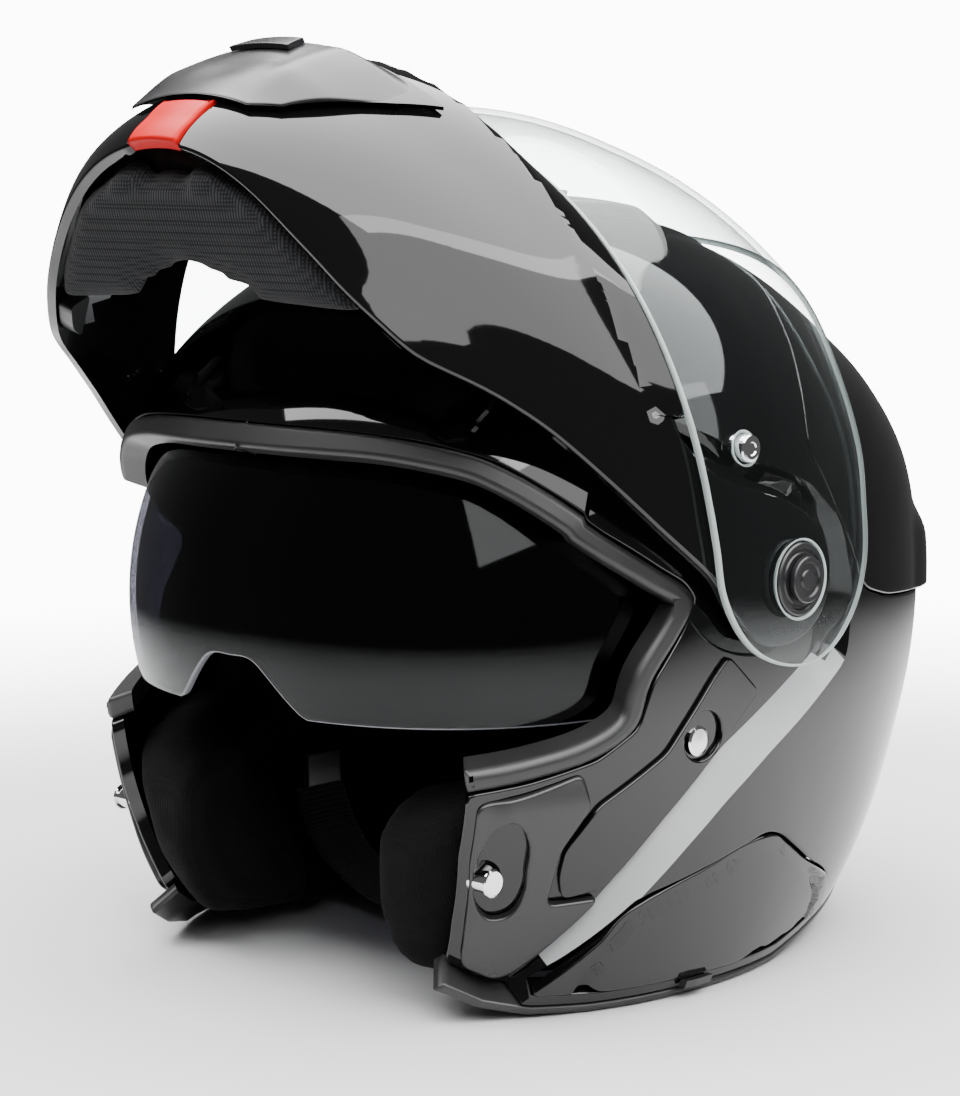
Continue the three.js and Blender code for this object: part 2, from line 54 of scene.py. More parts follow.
MM = 0.001
JOINTS = {joint["name"]: joint for joint in frame["record"]["behaviour"]["joints"]}
PIVOT = Vector(JOINTS["chin_bar_lift"]["pos_m"])
RAISED = math.radians(JOINTS["chin_bar_lift"]["range_deg"][1])
CENTRE = math.pi / 2              # chart radius of the centre plane
FAR = 320.0

# ---------------------------------------------------------------- skins


class Skin:
    """A superellipsoid: half width at the pivot, exponent, and radius for each direction."""

    def __init__(self, width, power, radii, centre=(0.0, 0.0)):
        self.width = width
        self.power = power
        self.centre = np.array(centre)
        angles = np.array([a for a, _ in radii], float)
        values = np.array([r for _, r in radii], float)
        self.angles = np.concatenate([angles[-2:] - 360, angles, angles[:3] + 360])
        self.values = np.concatenate([values[-2:], values, values[:3]])

    def radius(self, psi):
        turn = np.degrees(psi) % 360
        i = np.clip(np.searchsorted(self.angles, turn, side="right") - 1, 1, len(self.angles) - 3)
        a, r = self.angles, self.values
        span = a[i + 1] - a[i]
        t = (turn - a[i]) / span
        m1 = (r[i + 1] - r[i - 1]) / (a[i + 1] - a[i - 1]) * span
        m2 = (r[i + 2] - r[i]) / (a[i + 2] - a[i]) * span
        return ((2 * t**3 - 3 * t**2 + 1) * r[i] + (t**3 - 2 * t**2 + t) * m1
                + (3 * t**2 - 2 * t**3) * r[i + 1] + (t**3 - t**2) * m2)

    def place(self, chart, offset=0.0):
        """(x, f, z) of chart points on the skin moved outwards by offset."""
        alpha = np.hypot(chart[:, 0], chart[:, 1])
        psi = np.arctan2(chart[:, 1], chart[:, 0])
        c = np.clip(np.cos(alpha), 0, None)
        s = np.sin(alpha)
        k = (c**self.power + s**self.power) ** (-1 / self.power)
        r = (self.radius(psi) + offset) * k * s
        x = (self.width + offset) * k * c
        return np.stack([x, r * np.cos(psi) + self.centre[0], r * np.sin(psi) + self.centre[1]], 1)

    def chart(self, side):
        """Chart points of side-view places; those beyond the silhouette go to the centre plane."""
        local = np.asarray(side, float) - self.centre
        psi = np.arctan2(local[:, 1], local[:, 0])
        q = np.minimum(np.hypot(local[:, 0], local[:, 1]) / self.radius(psi), 1.0)
        alpha = np.arctan2(q, (1 - q**self.power) ** (1 / self.power))
        return np.stack([alpha * np.cos(psi), alpha * np.sin(psi)], 1)

    def front_chart(self, front, up=False):
        """Chart points of (x, z) places seen from the front, or of (x, f) seen from above."""
        x, level = np.asarray(front, float).T
        level = level - self.centre[0 if up else 1]
        q = (1 - np.minimum(np.abs(x) / self.width, 1) ** self.power) ** (1 / self.power)
        psi = np.full(len(x), math.pi / 2 if up else 0.0)
        for _ in range(60):
            r = self.radius(psi) * q
            across = np.sqrt(np.maximum(r**2 - level**2, 0))
            psi = np.arctan2(across, level) if up else np.arctan2(level, across)
        alpha = np.arctan2(q, (1 - q**self.power) ** (1 / self.power))
        return np.stack([alpha * np.cos(psi), alpha * np.sin(psi)], 1)


SHELL = Skin(130, 2.35, [(0, 138), (30, 127.5), (60, 118), (90, 116.5), (110, 119.5), (135, 126),
                         (150, 136.5), (165, 147.5), (180, 152.5), (200, 159.5), (215, 166),
                         (235, 182), (255, 196), (270, 205), (285, 203), (301, 190), (318, 178),
                         (335, 163), (348, 150)])
BAR = Skin(131, 2.05, [(0, 158), (60, 150), (180, 160), (270, 190), (300, 198), (308, 198),
                       (315, 204), (324, 210.5), (335, 199), (345, 186), (352, 170)])
VISOR = Skin(134, 2.35, [(0, 154.5), (10, 146), (20, 139.5), (30, 134), (40, 130), (50, 128.5),
                         (70, 134), (90, 143), (120, 154), (180, 162), (270, 200), (320, 190),
                         (335, 175), (348, 162)])
SUN_AXIS = (24.0, -15.0)
SUN = Skin(106, 2.5, [(a, 104.5) for a in (0, 90, 180, 270)], SUN_AXIS)

# ---------------------------------------------------------------- outlines, in mm

EYEPORT = [(150, 53), (117, 52), (106, 49), (95, 43.5), (71, 21), (52, 7.5), (43, 2),
           (38.5, -4), (44, -14), (56, -30), (61, -45), (75, -54), (97, -60), (113, -63)]
CHEEK = [(113, -63), (112, -85), (108, -108), (104, -124)]
RIM = [(104, -124), (92, -131), (78, -135), (60, -136), (-24, -136), (-57, -129), (-95, -121),
       (-126, -117), (-FAR, -117)]
SEAT = [(95, -150), (84, -130), (62, -97), (47, -79), (24, -56), (3, -44), (-26, -28), (-30, -8),
        (-24, 14), (-10, 27), (8, 33), (28, 44), (50, 54), (68, 42), (77, 21), (200, 0)]
CHAMFER = [(92, -152), (80, -131), (54, -98), (40, -83), (26, -70), (8, -57), (-12, -45), (-33, -31),
           (-35, -8), (-28, 16), (-12, 30), (6, 36.5), (27, 47), (50, 57.5), (71, 44), (79, 23),
           (200, 2)]
COVER = [(54, -99), (25, -91), (3, -85), (-5, -87), (-28, -101), (-47, -110), (-56, -125),
         (-24, -132), (60, -132), (82, -130.5)]
COVER_FACE = [(60, -131), (58, -114), (52, -107), (30, -99), (1, -92.5), (-25, -105), (-40, -121),
              (-24, -129)]
FAIRING = [(-FAR, 150), (-75, 150), (-54, 103), (-32, 83), (-21, 62), (-14, 42), (-26, 20),
           (-36, 2), (-42, -9), (-60, -14), (-98, -18), (-FAR, -18)]
GROOVE = [(-95, -19), (-98, -10), (-FAR, -8), (-FAR, -20)]
ARM_SEAT = [(79, -101), (82, -93), (82, -83), (73, -69), (49, -54), (43, -46), (31, -31), (24, -24),
            (8, -38), (26, -55), (49, -79), (62, -95), (66, -99)]
LATCH_PLATE = [(84, -102), (84, -83), (76, -68), (80, -57.5), (97, -63), (110, -66), (109, -86),
               (105, -107), (101, -123), (90, -129), (86, -127), (66, -101.5)]
BEAN = [(94, -80), (99, -72), (104, -74), (107, -84), (106, -96), (100, -105), (94, -104),
        (92, -96), (93, -89)]
BAR_EDGE = [(0, -33), (9, -36), (30, -54), (70, -84), (84, -97), (97, -112), (103, -116),
            (119, -123), (140, -127.5), (160, -129), (240, -129), (240, -39.5), (80, -39.5),
            (62, -40), (54, -38), (40, -26), (25, 4), (15, 16), (3, 22), (-11, 19), (-20, 9),
            (-22, -4), (-18, -20)]
VISOR_EDGE = [(240, -38), (20, -38), (6, -38), (-8, -33), (-19, -24), (-27, -10), (-30, 5),
              (-27, 18), (-17, 31), (-4, 39), (14, 44), (28, 49), (45, 53), (60, 57), (74, 65),
              (85, 77), (91, 89), (180, 176)]
ARM_CAP = [(99, -106), (112.5, -100), (112.5, -119), (104, -115.2)]
VENT = [(-60, -60), (60, -60), (53, -74), (35, -104), (26, -109.5), (-26, -109.5), (-35, -104),
        (-53, -74)]

PIVOT_HOLE = 5.35                 # radii of holes and round parts
LATCH = (100.0, -89.0)
STUD = (34.0, -50.0)
LENS_PIN = (48.0, -17.0)
CREASE = -48.0                    # height of the chin bar's upper crease
BAR_RIM = -39.5                   # height of its upper rim
BUTTON_HALF = 11.4                # half width of the release button
BUTTON_TOP = -111.1               # height of its upper edge
BUTTON_LOW = -128.4               # and of its lower edge
BUTTON_GAP = 0.5                  # room round it in the bar
SUN_LOW = -42.0                   # height of the sun visor's lower edge
SUN_HIGH = 54.0                   # height of its upper edge


def circle(radius, f, z, count=40):
    turn = np.linspace(0, 2 * math.pi, count, endpoint=False)
    return np.stack([f + radius * np.cos(turn), z + radius * np.sin(turn)], 1)


def flow(points, closed=True, steps=6):
    """A smooth curve through the points."""
    p = np.asarray(points, float)
    n = len(p)
    out = []
    for i in range(n if closed else n - 1):
        if closed:
            a, b, c, d = p[i - 1], p[i], p[(i + 1) % n], p[(i + 2) % n]
        else:
            a, b, c, d = p[max(i - 1, 0)], p[i], p[i + 1], p[min(i + 2, n - 1)]
        reach = np.linalg.norm(c - b)
        m1 = (c - a) / max(np.linalg.norm(c - a), 1e-9) * reach
        m2 = (d - b) / max(np.linalg.norm(d - b), 1e-9) * reach
        for t in np.linspace(0, 1, steps, endpoint=False):
            out.append((2 * t**3 - 3 * t**2 + 1) * b + (t**3 - 2 * t**2 + t) * m1
                       + (3 * t**2 - 2 * t**3) * c + (t**3 - t**2) * m2)
    if not closed:
        out.append(p[-1])
    return np.array(out)


def filleted(points, radius, steps=5):
    """The polygon with each corner replaced by a curve that starts radius away from it."""
    p = np.asarray(points, float)
    out = []
    for i in range(len(p)):
        before, here, after = p[i - 1], p[i], p[(i + 1) % len(p)]
        back = before - here
        on = after - here
        start = here + back * min(radius / np.linalg.norm(back), 0.48)
        end = here + on * min(radius / np.linalg.norm(on), 0.48)
        for t in np.linspace(0, 1, steps):
            out.append((1 - t) ** 2 * start + 2 * t * (1 - t) * here + t**2 * end)
    return np.array(out)


def area(loop):
    x, y = loop.T
    return 0.5 * np.sum(x * np.roll(y, -1) - np.roll(x, -1) * y)


def moved(path, distance, closed=True):
    """The path moved to its right by a distance, with mitred corners."""
    p = np.asarray(path, float)
    edge = np.roll(p, -1, 0) - p
    normal = np.stack([edge[:, 1], -edge[:, 0]], 1) / np.linalg.norm(edge, axis=1)[:, None]
    before = np.roll(normal, 1, 0)
    if not closed:
        normal[-1] = normal[-2]
        before[0] = normal[0]
    mitre = np.maximum(1 + np.sum(normal * before, 1), 0.3)
    return p + (normal + before) / mitre[:, None] * distance


def grown(loop, distance):
    return moved(loop, distance if area(np.asarray(loop, float)) > 0 else -distance)


def inside(points, loop):
    """Whether each point is inside the closed loop."""
    x, y = points.T
    odd = np.zeros(len(points), bool)
    for (x0, y0), (x1, y1) in zip(loop, np.roll(loop, -1, 0)):
        if y0 != y1:
            crossing = (y0 > y) != (y1 > y)
            odd ^= crossing & (x < (x1 - x0) * (y - y0) / (y1 - y0) + x0)
    return odd


def distance_to(points, loop):
    """Distance from each point to the closed loop."""
    best = np.full(len(points), 1e9)
    ends = np.roll(loop, -1, 0)
    for a, b in zip(loop, ends):
        edge = b - a
        t = np.clip((points - a) @ edge / max(edge @ edge, 1e-12), 0, 1)
        best = np.minimum(best, np.linalg.norm(points - a - t[:, None] * edge, axis=1))
    return best


def signed(points, loop):
    """Distance to the loop, negative inside it."""
    return np.where(inside(points, loop), -1, 1) * distance_to(points, loop)


def ramp(value, low, high):
    t = np.clip((value - low) / (high - low), 0, 1)
    return t * t * (3 - 2 * t)


# ---------------------------------------------------------------- charts


def on_chart(skin, side, step):
    """A closed side-view outline as a loop of chart points about step apart."""
    side = np.asarray(side, float)
    local = side - skin.centre
    share = np.hypot(*local.T) / skin.radius(np.arctan2(local[:, 1], local[:, 0]))
    dense = []
    for i in range(len(side)):
        a, b = side[i], side[(i + 1) % len(side)]
        qa, qb = share[i], share[(i + 1) % len(side)]
        if (qa > 1) != (qb > 1):
            low, high = 0.0, 1.0
            for _ in range(50):
                t = (low + high) / 2
                at = a + (b - a) * t - skin.centre
                beyond = np.hypot(*at) > skin.radius(np.arctan2(at[1:], at[:1]))[0]
                low, high = (t, high) if beyond == (qa > 1) else (low, t)
            bunched = np.linspace(0, 1, 50) ** 4
            t = np.concatenate([low * (1 - bunched[::-1]), low + (1 - low) * bunched[1:-1]])
        else:
            t = np.linspace(0, 1, 30, endpoint=False)
        dense.append(a + (b - a) * np.asarray(t)[:, None])
    return spaced(skin.chart(np.concatenate(dense)), step)


def spaced(loop, step):
    """The loop with its points about step apart, keeping its sharp corners."""
    keep = [loop[0]]
    run = 0.0
    for i in range(1, len(loop)):
        run += np.linalg.norm(loop[i] - loop[i - 1])
        if run >= step:
            keep.append(loop[i])
            run = 0.0
    if np.linalg.norm(keep[-1] - keep[0]) < step * 0.5:
        keep.pop()
    out = np.array(keep)
    return out if area(out) > 0 else out[::-1]


class Layout:
    """A triangulated patch of a chart: its rim loops, each drawn in by the rim's radius."""

    def __init__(self, loops, step, rim, guides=()):
        self.loops = [loops[0]] + [loop[::-1] for loop in loops[1:]]
        self.inset = [self.draw_in(loop, rim) for loop in self.loops]
        points = [loop for loop in self.inset]
        edges = []
        start = 0
        for loop in self.inset:
            n = len(loop)
            edges += [(start + i, start + (i + 1) % n) for i in range(n)]
            start += n
        fixed = np.concatenate(self.inset)
        for guide in guides:
            within = self.holds(guide) & (self.clearance(guide, fixed) > step * 0.4)
            points.append(guide)
            edges += [(start + i, start + i + 1) for i in range(len(guide) - 1)
                      if within[i] and within[i + 1]]
            start += len(guide)
        lines = np.concatenate(points)
        grid = self.grid(step)
        grid = grid[self.clearance(grid, lines) > step * 0.62]
        verts = [Vector(p) for p in np.concatenate([lines, grid])]
        out = delaunay_2d_cdt(verts, edges, [], 0, 1e-7, True)
        self.points = np.array([tuple(v) for v in out[0]])
        origin = {}
        for new, sources in enumerate(out[3]):
            for source in sources:
                origin[source] = new
        faces = np.array(out[2])
        self.faces = faces[self.holds(self.points[faces].mean(1))]
        flip = self.signs() < 0
        self.faces[flip] = self.faces[flip][:, ::-1]
        self.rims = []
        start = 0
        for loop in self.inset:
            self.rims.append([origin[start + i] for i in range(len(loop))])
            start += len(loop)

    def signs(self):
        a, b, c = (self.points[self.faces[:, k]] for k in range(3))
        return (b - a)[:, 0] * (c - a)[:, 1] - (b - a)[:, 1] * (c - a)[:, 0]

    @staticmethod
    def draw_in(loop, rim):
        seam = np.hypot(*loop.T) > CENTRE - 1e-6
        inner = moved(loop, -rim)
        for i in np.nonzero(seam)[0]:
            n = len(loop)
            before, after = seam[i - 1], seam[(i + 1) % n]
            inner[i] = loop[i]
            if before != after:
                along = loop[(i + 1) % n] if after else loop[i - 1]
                step = along - loop[i]
                turned = loop[i] + step * min(rim / np.linalg.norm(step), 0.8)
                inner[i] = turned / np.hypot(*turned) * CENTRE
        return inner

    def holds(self, points):
        held = inside(points, self.inset[0])
        for hole in self.inset[1:]:
            held &= ~inside(points, hole)
        return held

    @staticmethod
    def clearance(points, others):
        tree = kdtree.KDTree(len(others))
        for i, (x, y) in enumerate(others):
            tree.insert((x, y, 0), i)
        tree.balance()
        return np.array([tree.find((x, y, 0))[2] for x, y in points])

    def grid(self, step):
        low, high = self.inset[0].min(0), self.inset[0].max(0)
        rows = []
        for k, y in enumerate(np.arange(low[1], high[1], step * math.sqrt(3) / 2)):
            x = np.arange(low[0] + (k % 2) * step / 2, high[0], step)
            rows.append(np.stack([x, np.full(len(x), y)], 1))
        grid = np.concatenate(rows)
        grid = grid[np.hypot(*grid.T) < CENTRE - step * 0.4]
        return grid[self.holds(grid)]


# ---------------------------------------------------------------- meshes

STILL = Matrix.Translation(PIVOT)
SWUNG = Matrix.Translation(PIVOT) @ Matrix.Rotation(-RAISED, 4, "X")


def to_row(points, swung):
    """Millimetres (x, f, z) about the pivot as metres in the row frame."""
    row = np.stack([points[:, 0], -points[:, 1], points[:, 2]], 1) * MM
    matrix = np.array(SWUNG if swung else STILL)
    return row @ matrix[:3, :3].T + matrix[:3, 3]


def new_mesh(name, points, faces, material, swung=False, normals=None, second=None,
             in_second=None):
    """A mesh object from (x, f, z) points in mm; normals holds one for each face corner, and
    in_second says which faces take the second material."""
    mesh = bpy.data.meshes.new(name)
    row = to_row(points, swung)
    mesh.from_pydata([tuple(p) for p in row], [], [tuple(int(i) for i in f) for f in faces])
    mesh.polygons.foreach_set("use_smooth", [True] * len(mesh.polygons))
    if normals is not None:
        turned = np.stack([normals[:, 0], -normals[:, 1], normals[:, 2]], 1)
        turned = turned @ np.array(SWUNG if swung else STILL)[:3, :3].T
        mesh.normals_split_custom_set([tuple(n) for n in turned])
    mesh.materials.append(material)
    if second is not None:
        mesh.materials.append(second)
        mesh.polygons.foreach_set("material_index", in_second.astype(int))
    piece = bpy.data.objects.new(name, mesh)
    bpy.context.scene.collection.objects.link(piece)
    return piece


def claim(piece, body, slot, *nodes):
    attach(piece, body)
    if nodes:
        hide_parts(*nodes)
    return piece


def unit(v):
    return v / np.maximum(np.linalg.norm(v, axis=1), 1e-12)[:, None]


class Panel:
    """A patch of a skin with a thickness: outer face, rounded rim, wall and inner face."""

    RIM_STEPS = 4

    def __init__(self, skin, loops, depth, height=0.0, rim=0.8, step=2.6, guides=(), relief=None,
                 bands=None, blend=None, painted_light_faces=None):
        self.skin = skin
        # an optional mask of outer faces that take the second material as painted light
        self.painted_light_faces = painted_light_faces
        self.blend = blend
        self.relief = relief
        scale = 1 / skin.width
        self.layout = Layout(loops, step * scale, rim * scale, guides)
        chart = self.layout.points
        top = np.full(len(chart), float(height)) if not callable(height) else height(chart)
        self.points = []
        self.faces = []
        self.corners = []
        self.count = 0
        outer = self.add_points(chart, top)
        normals = self.normals(chart, top)
        self.add_faces(self.layout.faces, outer, self.face_normals(chart, top, normals, bands))
        lower = top - depth
        under = chart.copy()
        for loop, ids in zip(self.layout.loops, self.layout.rims):
            under[ids] = loop
        inner = self.add_points(under, lower, plain=True)
        flipped = self.layout.faces[:, ::-1]
        self.add_faces(flipped, inner, -self.normals(under, lower, plain=True)[flipped])
        for loop, inset, ids in zip(self.layout.loops, self.layout.inset, self.layout.rims):
            self.add_rim(loop, inset, np.array(ids), top, normals, outer, inner, rim)

    def surface(self, chart, height, plain=False):
        tall = height if plain or self.relief is None else height + self.relief(chart)
        points = self.skin.place(chart, tall)
        return points if self.blend is None else self.blend(chart, points, tall)

    def normals(self, chart, height, plain=False):
        """Normals of the surface that keeps each point's height."""
        tiny = 2e-4
        radial = np.hypot(*chart.T)
        pull = np.where(radial > CENTRE - 2 * tiny, (CENTRE - 2 * tiny) / np.maximum(radial, 1e-9), 1)
        at = chart * pull[:, None]
        du = np.array([[tiny, 0.0]])
        dv = np.array([[0.0, tiny]])
        a = self.surface(at + du, height, plain) - self.surface(at - du, height, plain)
        b = self.surface(at + dv, height, plain) - self.surface(at - dv, height, plain)
        n = unit(np.cross(a, b))
        here = self.surface(at, height, plain)
        outward = here - np.array([0, self.skin.centre[0], self.skin.centre[1]])
        n[np.sum(n * outward, 1) < 0] *= -1
        n[radial > CENTRE - 1e-6, 0] = 0
        return unit(n)

    def face_normals(self, chart, top, normals, bands):
        """Corner normals of the outer face; a face in a band takes its normals from its shape."""
        faces = self.layout.faces
        corners = normals[faces]
        if bands is None:
            return corners
        here = self.surface(chart, top)
        a, b, c = (here[faces[:, k]] for k in range(3))
        flat = np.cross(b - a, c - a)
        outward = here[faces].mean(1)
        flat[np.sum(flat * outward, 1) < 0] *= -1
        in_band = bands(chart[faces].mean(1))
        for band in np.unique(in_band[in_band > 0]):
            chosen = np.nonzero(in_band == band)[0]
            total = np.zeros_like(here)
            for k in range(3):
                np.add.at(total, faces[chosen, k], flat[chosen])
            corners[chosen] = unit(total)[faces[chosen]]
        return corners

    def add_points(self, chart, height, plain=False):
        self.points.append(self.surface(chart, height, plain))
        ids = np.arange(self.count, self.count + len(chart))
        self.count += len(chart)
        return ids

    def add_faces(self, faces, ids, corners):
        self.faces.append(ids[faces])
        self.corners.append(corners)

    def add_rim(self, loop, inset, ids, top, normals, outer, inner, rim):
        """The rounded edge and the wall below it, along one loop."""
        n = len(loop)
        seam = np.hypot(*loop.T) > CENTRE - 1e-6
        edges = np.array([i for i in range(n) if not (seam[i] and seam[(i + 1) % n])])
        nexts = (edges + 1) % n
        height = top[ids]
        reach = self.surface(loop, height) - self.surface(inset, height)
        along = np.roll(reach, -1, 0) + np.roll(reach, 1, 0)
        reach = np.where(np.linalg.norm(reach, axis=1)[:, None] > 1e-6, reach, along)
        facing = normals[ids]
        out = unit(reach - facing * np.sum(reach * facing, 1)[:, None])
        last_ids = outer[ids]
        last_normals = facing
        for k in range(1, self.RIM_STEPS + 1):
            turn = math.pi / 2 * k / self.RIM_STEPS
            chart = inset + (loop - inset) * math.sin(turn)
            ring = self.add_points(chart, height - rim * (1 - math.cos(turn)))
            bent = facing * math.cos(turn) + out * math.sin(turn)
            self.add_strip(last_ids, ring, last_normals, bent, edges, nexts)
            last_ids, last_normals = ring, bent
        self.add_strip(last_ids, inner[ids], last_normals, last_normals, edges, nexts)

    def add_strip(self, upper, lower, upper_normals, lower_normals, edges, nexts):
        """Two triangles for each edge between an upper and a lower ring."""
        first = np.stack([upper[edges], lower[edges], lower[nexts]], 1)
        second = np.stack([upper[edges], lower[nexts], upper[nexts]], 1)
        self.faces.append(np.concatenate([first, second]))
        self.corners.append(np.concatenate([
            np.stack([upper_normals[edges], lower_normals[edges], lower_normals[nexts]], 1),
            np.stack([upper_normals[edges], lower_normals[nexts], upper_normals[nexts]], 1)]))

    def arrays(self):
        """Points, faces, corner normals, and which faces take the second material: those picked by the
        painted light mask, or without one those on the rim."""
        points = np.concatenate(self.points)
        faces = np.concatenate(self.faces)
        corners = np.concatenate(self.corners)
        patch = self.layout.faces
        in_second = np.arange(len(faces)) >= 2 * len(patch)
        if self.painted_light_faces is not None:
            in_second[:] = False
            in_second[:len(patch)] = self.painted_light_faces(self.layout.points[patch].mean(1))
        sides = np.cross(points[faces[:, 1]] - points[faces[:, 0]],
                         points[faces[:, 2]] - points[faces[:, 0]])
        keep = np.linalg.norm(sides, axis=1) > 1e-9
        used, faces = np.unique(faces[keep], return_inverse=True)
        # the (x, f, z) order is left-handed, so each face's corners run the other way round
        return points[used], faces.reshape(-1, 3)[:, ::-1], corners[keep][:, ::-1], in_second[keep]

    def left(self, name, material, swung=False, second=None):
        points, faces, corners, in_second = self.arrays()
        return new_mesh(name, points, faces, material, swung, corners.reshape(-1, 3), second, in_second)

    def right(self, name, material, swung=False, second=None):
        points, faces, corners, in_second = self.arrays()
        points, faces, corners = reflected(points, faces, corners)
        return new_mesh(name, points, faces, material, swung, corners.reshape(-1, 3), second, in_second)

    def whole(self, name, material, swung=False, second=None):
        """Both halves, joined along the centre plane."""
        points, faces, corners, in_second = self.arrays()
        seam = np.abs(points[:, 0]) < 1e-6
        points[seam, 0] = 0
        other, other_faces, other_corners = reflected(points, faces, corners)
        ids = np.arange(len(points)) + len(points)
        ids[seam] = np.nonzero(seam)[0]
        used = np.concatenate([np.ones(len(points), bool), ~seam])
        place = np.cumsum(used) - 1
        both = place[np.concatenate([faces, ids[other_faces]])]
        normals = np.concatenate([corners, other_corners]).reshape(-1, 3)
        return new_mesh(name, np.concatenate([points, other])[used], both, material, swung, normals,
                        second, np.concatenate([in_second, in_second]))


def reflected(points, faces, corners):
    """The mirror image across the centre plane."""
    flip = np.array([-1.0, 1.0, 1.0])
    return points * flip, faces[:, ::-1], corners[:, ::-1] * flip


def lathe(name, profile, centre, material, swung=False, side=1, segments=64):
    """A round part about an axis along X, from its (x, radius) profile, with sharp edges kept."""
    points = []
    faces = []
    normals = []
    for (x0, r0), (x1, r1) in zip(profile, profile[1:]):
        start = len(points)
        slope = math.atan2(x1 - x0, r1 - r0)
        for k in range(segments):
            turn = 2 * math.pi * k / segments
            spoke = np.array([0, math.cos(turn), math.sin(turn)])
            for x, r in ((x0, r0), (x1, r1)):
                points.append(np.array([x * side, centre[0], centre[1]]) + spoke * r)
            k1 = (k + 1) % segments
            quad = (start + 2 * k, start + 2 * k1, start + 2 * k1 + 1, start + 2 * k + 1)
            faces.append(quad[::-1] if side > 0 else quad)
            for corner in (k, k1, k1, k):
                angle = 2 * math.pi * corner / segments
                spoke_c = np.array([0, math.cos(angle), math.sin(angle)])
                normals.append(spoke_c * math.sin(slope)
                               + np.array([-side * math.cos(slope), 0, 0]))
    return new_mesh(name, np.array(points), faces, material, swung, np.array(normals))


# ---------------------------------------------------------------- materials


def material(name, color, rough, metal=0.0, mottle=0.15, rough_spread=0.3, scale=60.0, bump=0.0,
             bump_scale=400.0, **sockets):
    """A Principled material whose colour and roughness drift a little, with a fine surface bump."""
    mat = bpy.data.materials.new(name)
    mat.use_nodes = True
    tree = mat.node_tree
    shader = tree.nodes["Principled BSDF"]
    shader.inputs["Metallic"].default_value = metal
    for key, value in sockets.items():
        shader.inputs[key.replace("_", " ")].default_value = value
    place = tree.nodes.new("ShaderNodeTexCoord")
    drift = noise(tree, place, scale, 3)
    tint = tree.nodes.new("ShaderNodeMix")
    tint.data_type = "RGBA"
    tint.inputs["A"].default_value = (*[c * (1 - mottle) for c in color], 1)
    tint.inputs["B"].default_value = (*[c * (1 + mottle) for c in color], 1)
    tree.links.new(drift.outputs["Fac"], tint.inputs["Factor"])
    tree.links.new(tint.outputs["Result"], shader.inputs["Base Color"])
    spread = tree.nodes.new("ShaderNodeMapRange")
    spread.inputs["To Min"].default_value = rough * (1 - rough_spread)
    spread.inputs["To Max"].default_value = rough * (1 + rough_spread)
    tree.links.new(drift.outputs["Fac"], spread.inputs["Value"])
    tree.links.new(spread.outputs["Result"], shader.inputs["Roughness"])
    if bump:
        grain = noise(tree, place, bump_scale, 4)
        add_bump(tree, shader, grain.outputs["Fac"], bump)
    return mat


def noise(tree, place, scale, detail):
    node = tree.nodes.new("ShaderNodeTexNoise")
    node.inputs["Scale"].default_value = scale
    node.inputs["Detail"].default_value = detail
    tree.links.new(place.outputs["Object"], node.inputs["Vector"])
    return node


def add_bump(tree, shader, height, distance):
    node = tree.nodes.new("ShaderNodeBump")
    node.inputs["Strength"].default_value = 0.6
    node.inputs["Distance"].default_value = distance
    tree.links.new(height, node.inputs["Height"])
    tree.links.new(node.outputs["Normal"], shader.inputs["Normal"])


def wave(tree, vector, axis, scale):
    """Fine parallel ribs across one axis."""
    node = tree.nodes.new("ShaderNodeTexWave")
    node.wave_type = "BANDS"
    node.bands_direction = axis
    node.inputs["Scale"].default_value = scale
    tree.links.new(vector, node.inputs["Vector"])
    return node.outputs["Fac"]


def math_node(tree, operation, a, b):
    node = tree.nodes.new("ShaderNodeMath")
    node.operation = operation
    for socket, value in zip(node.inputs, (a, b)):
        if isinstance(value, (int, float)):
            socket.default_value = value
        else:
            tree.links.new(value, socket)
    return node.outputs["Value"]


def woven(name, color, threads, rough=0.85, bump=0.0003, contrast=0.5, sheen=0.3):
    """A fabric: threads crossing on three axes, so that it shows on every face of a pad."""
    mat = material(name, color, rough, Sheen_Weight=sheen, Sheen_Roughness=0.5,
                   Specular_IOR_Level=0.1)
    tree = mat.node_tree
    shader = tree.nodes["Principled BSDF"]
    place = next(n for n in tree.nodes if n.type == "TEX_COORD")
    vector = place.outputs["Object"]
    weave = math_node(tree, "MULTIPLY", wave(tree, vector, "X", threads),
                      wave(tree, vector, "Z", threads))
    weave = math_node(tree, "MAXIMUM", weave, math_node(
        tree, "MULTIPLY", wave(tree, vector, "Y", threads), wave(tree, vector, "X", threads)))
    tint = tree.nodes.new("ShaderNodeMix")
    tint.data_type = "RGBA"
    tint.inputs["A"].default_value = (*[c * (1 - contrast) for c in color], 1)
    old = shader.inputs["Base Color"].links[0].from_socket
    tree.links.new(weave, tint.inputs["Factor"])
    tree.links.new(old, tint.inputs["B"])
    tree.links.new(tint.outputs["Result"], shader.inputs["Base Color"])
    add_bump(tree, shader, weave, bump)
    return mat


def see_through(name, tint, rough, facing_gloss):
    """A thin moulded lens: tinted and see-through, with a gloss that grows towards its edge."""
    mat = material(name, (0.95, 0.97, 0.97), rough, metal=1.0, mottle=0.02, scale=30)
    tree = mat.node_tree
    clear = tree.nodes.new("ShaderNodeBsdfTransparent")
    clear.inputs["Color"].default_value = (*tint, 1)
    layer = tree.nodes.new("ShaderNodeLayerWeight")
    layer.inputs["Blend"].default_value = 0.5
    rise = math_node(tree, "POWER", layer.outputs["Facing"], 4.0)
    share = math_node(tree, "ADD", math_node(tree, "MULTIPLY", rise, 0.7), facing_gloss)
    mix = tree.nodes.new("ShaderNodeMixShader")
    tree.links.new(share, mix.inputs["Fac"])
    tree.links.new(clear.outputs["BSDF"], mix.inputs[1])
    tree.links.new(tree.nodes["Principled BSDF"].outputs["BSDF"], mix.inputs[2])
    tree.links.new(mix.outputs["Shader"], tree.nodes["Material Output"].inputs["Surface"])
    return mat


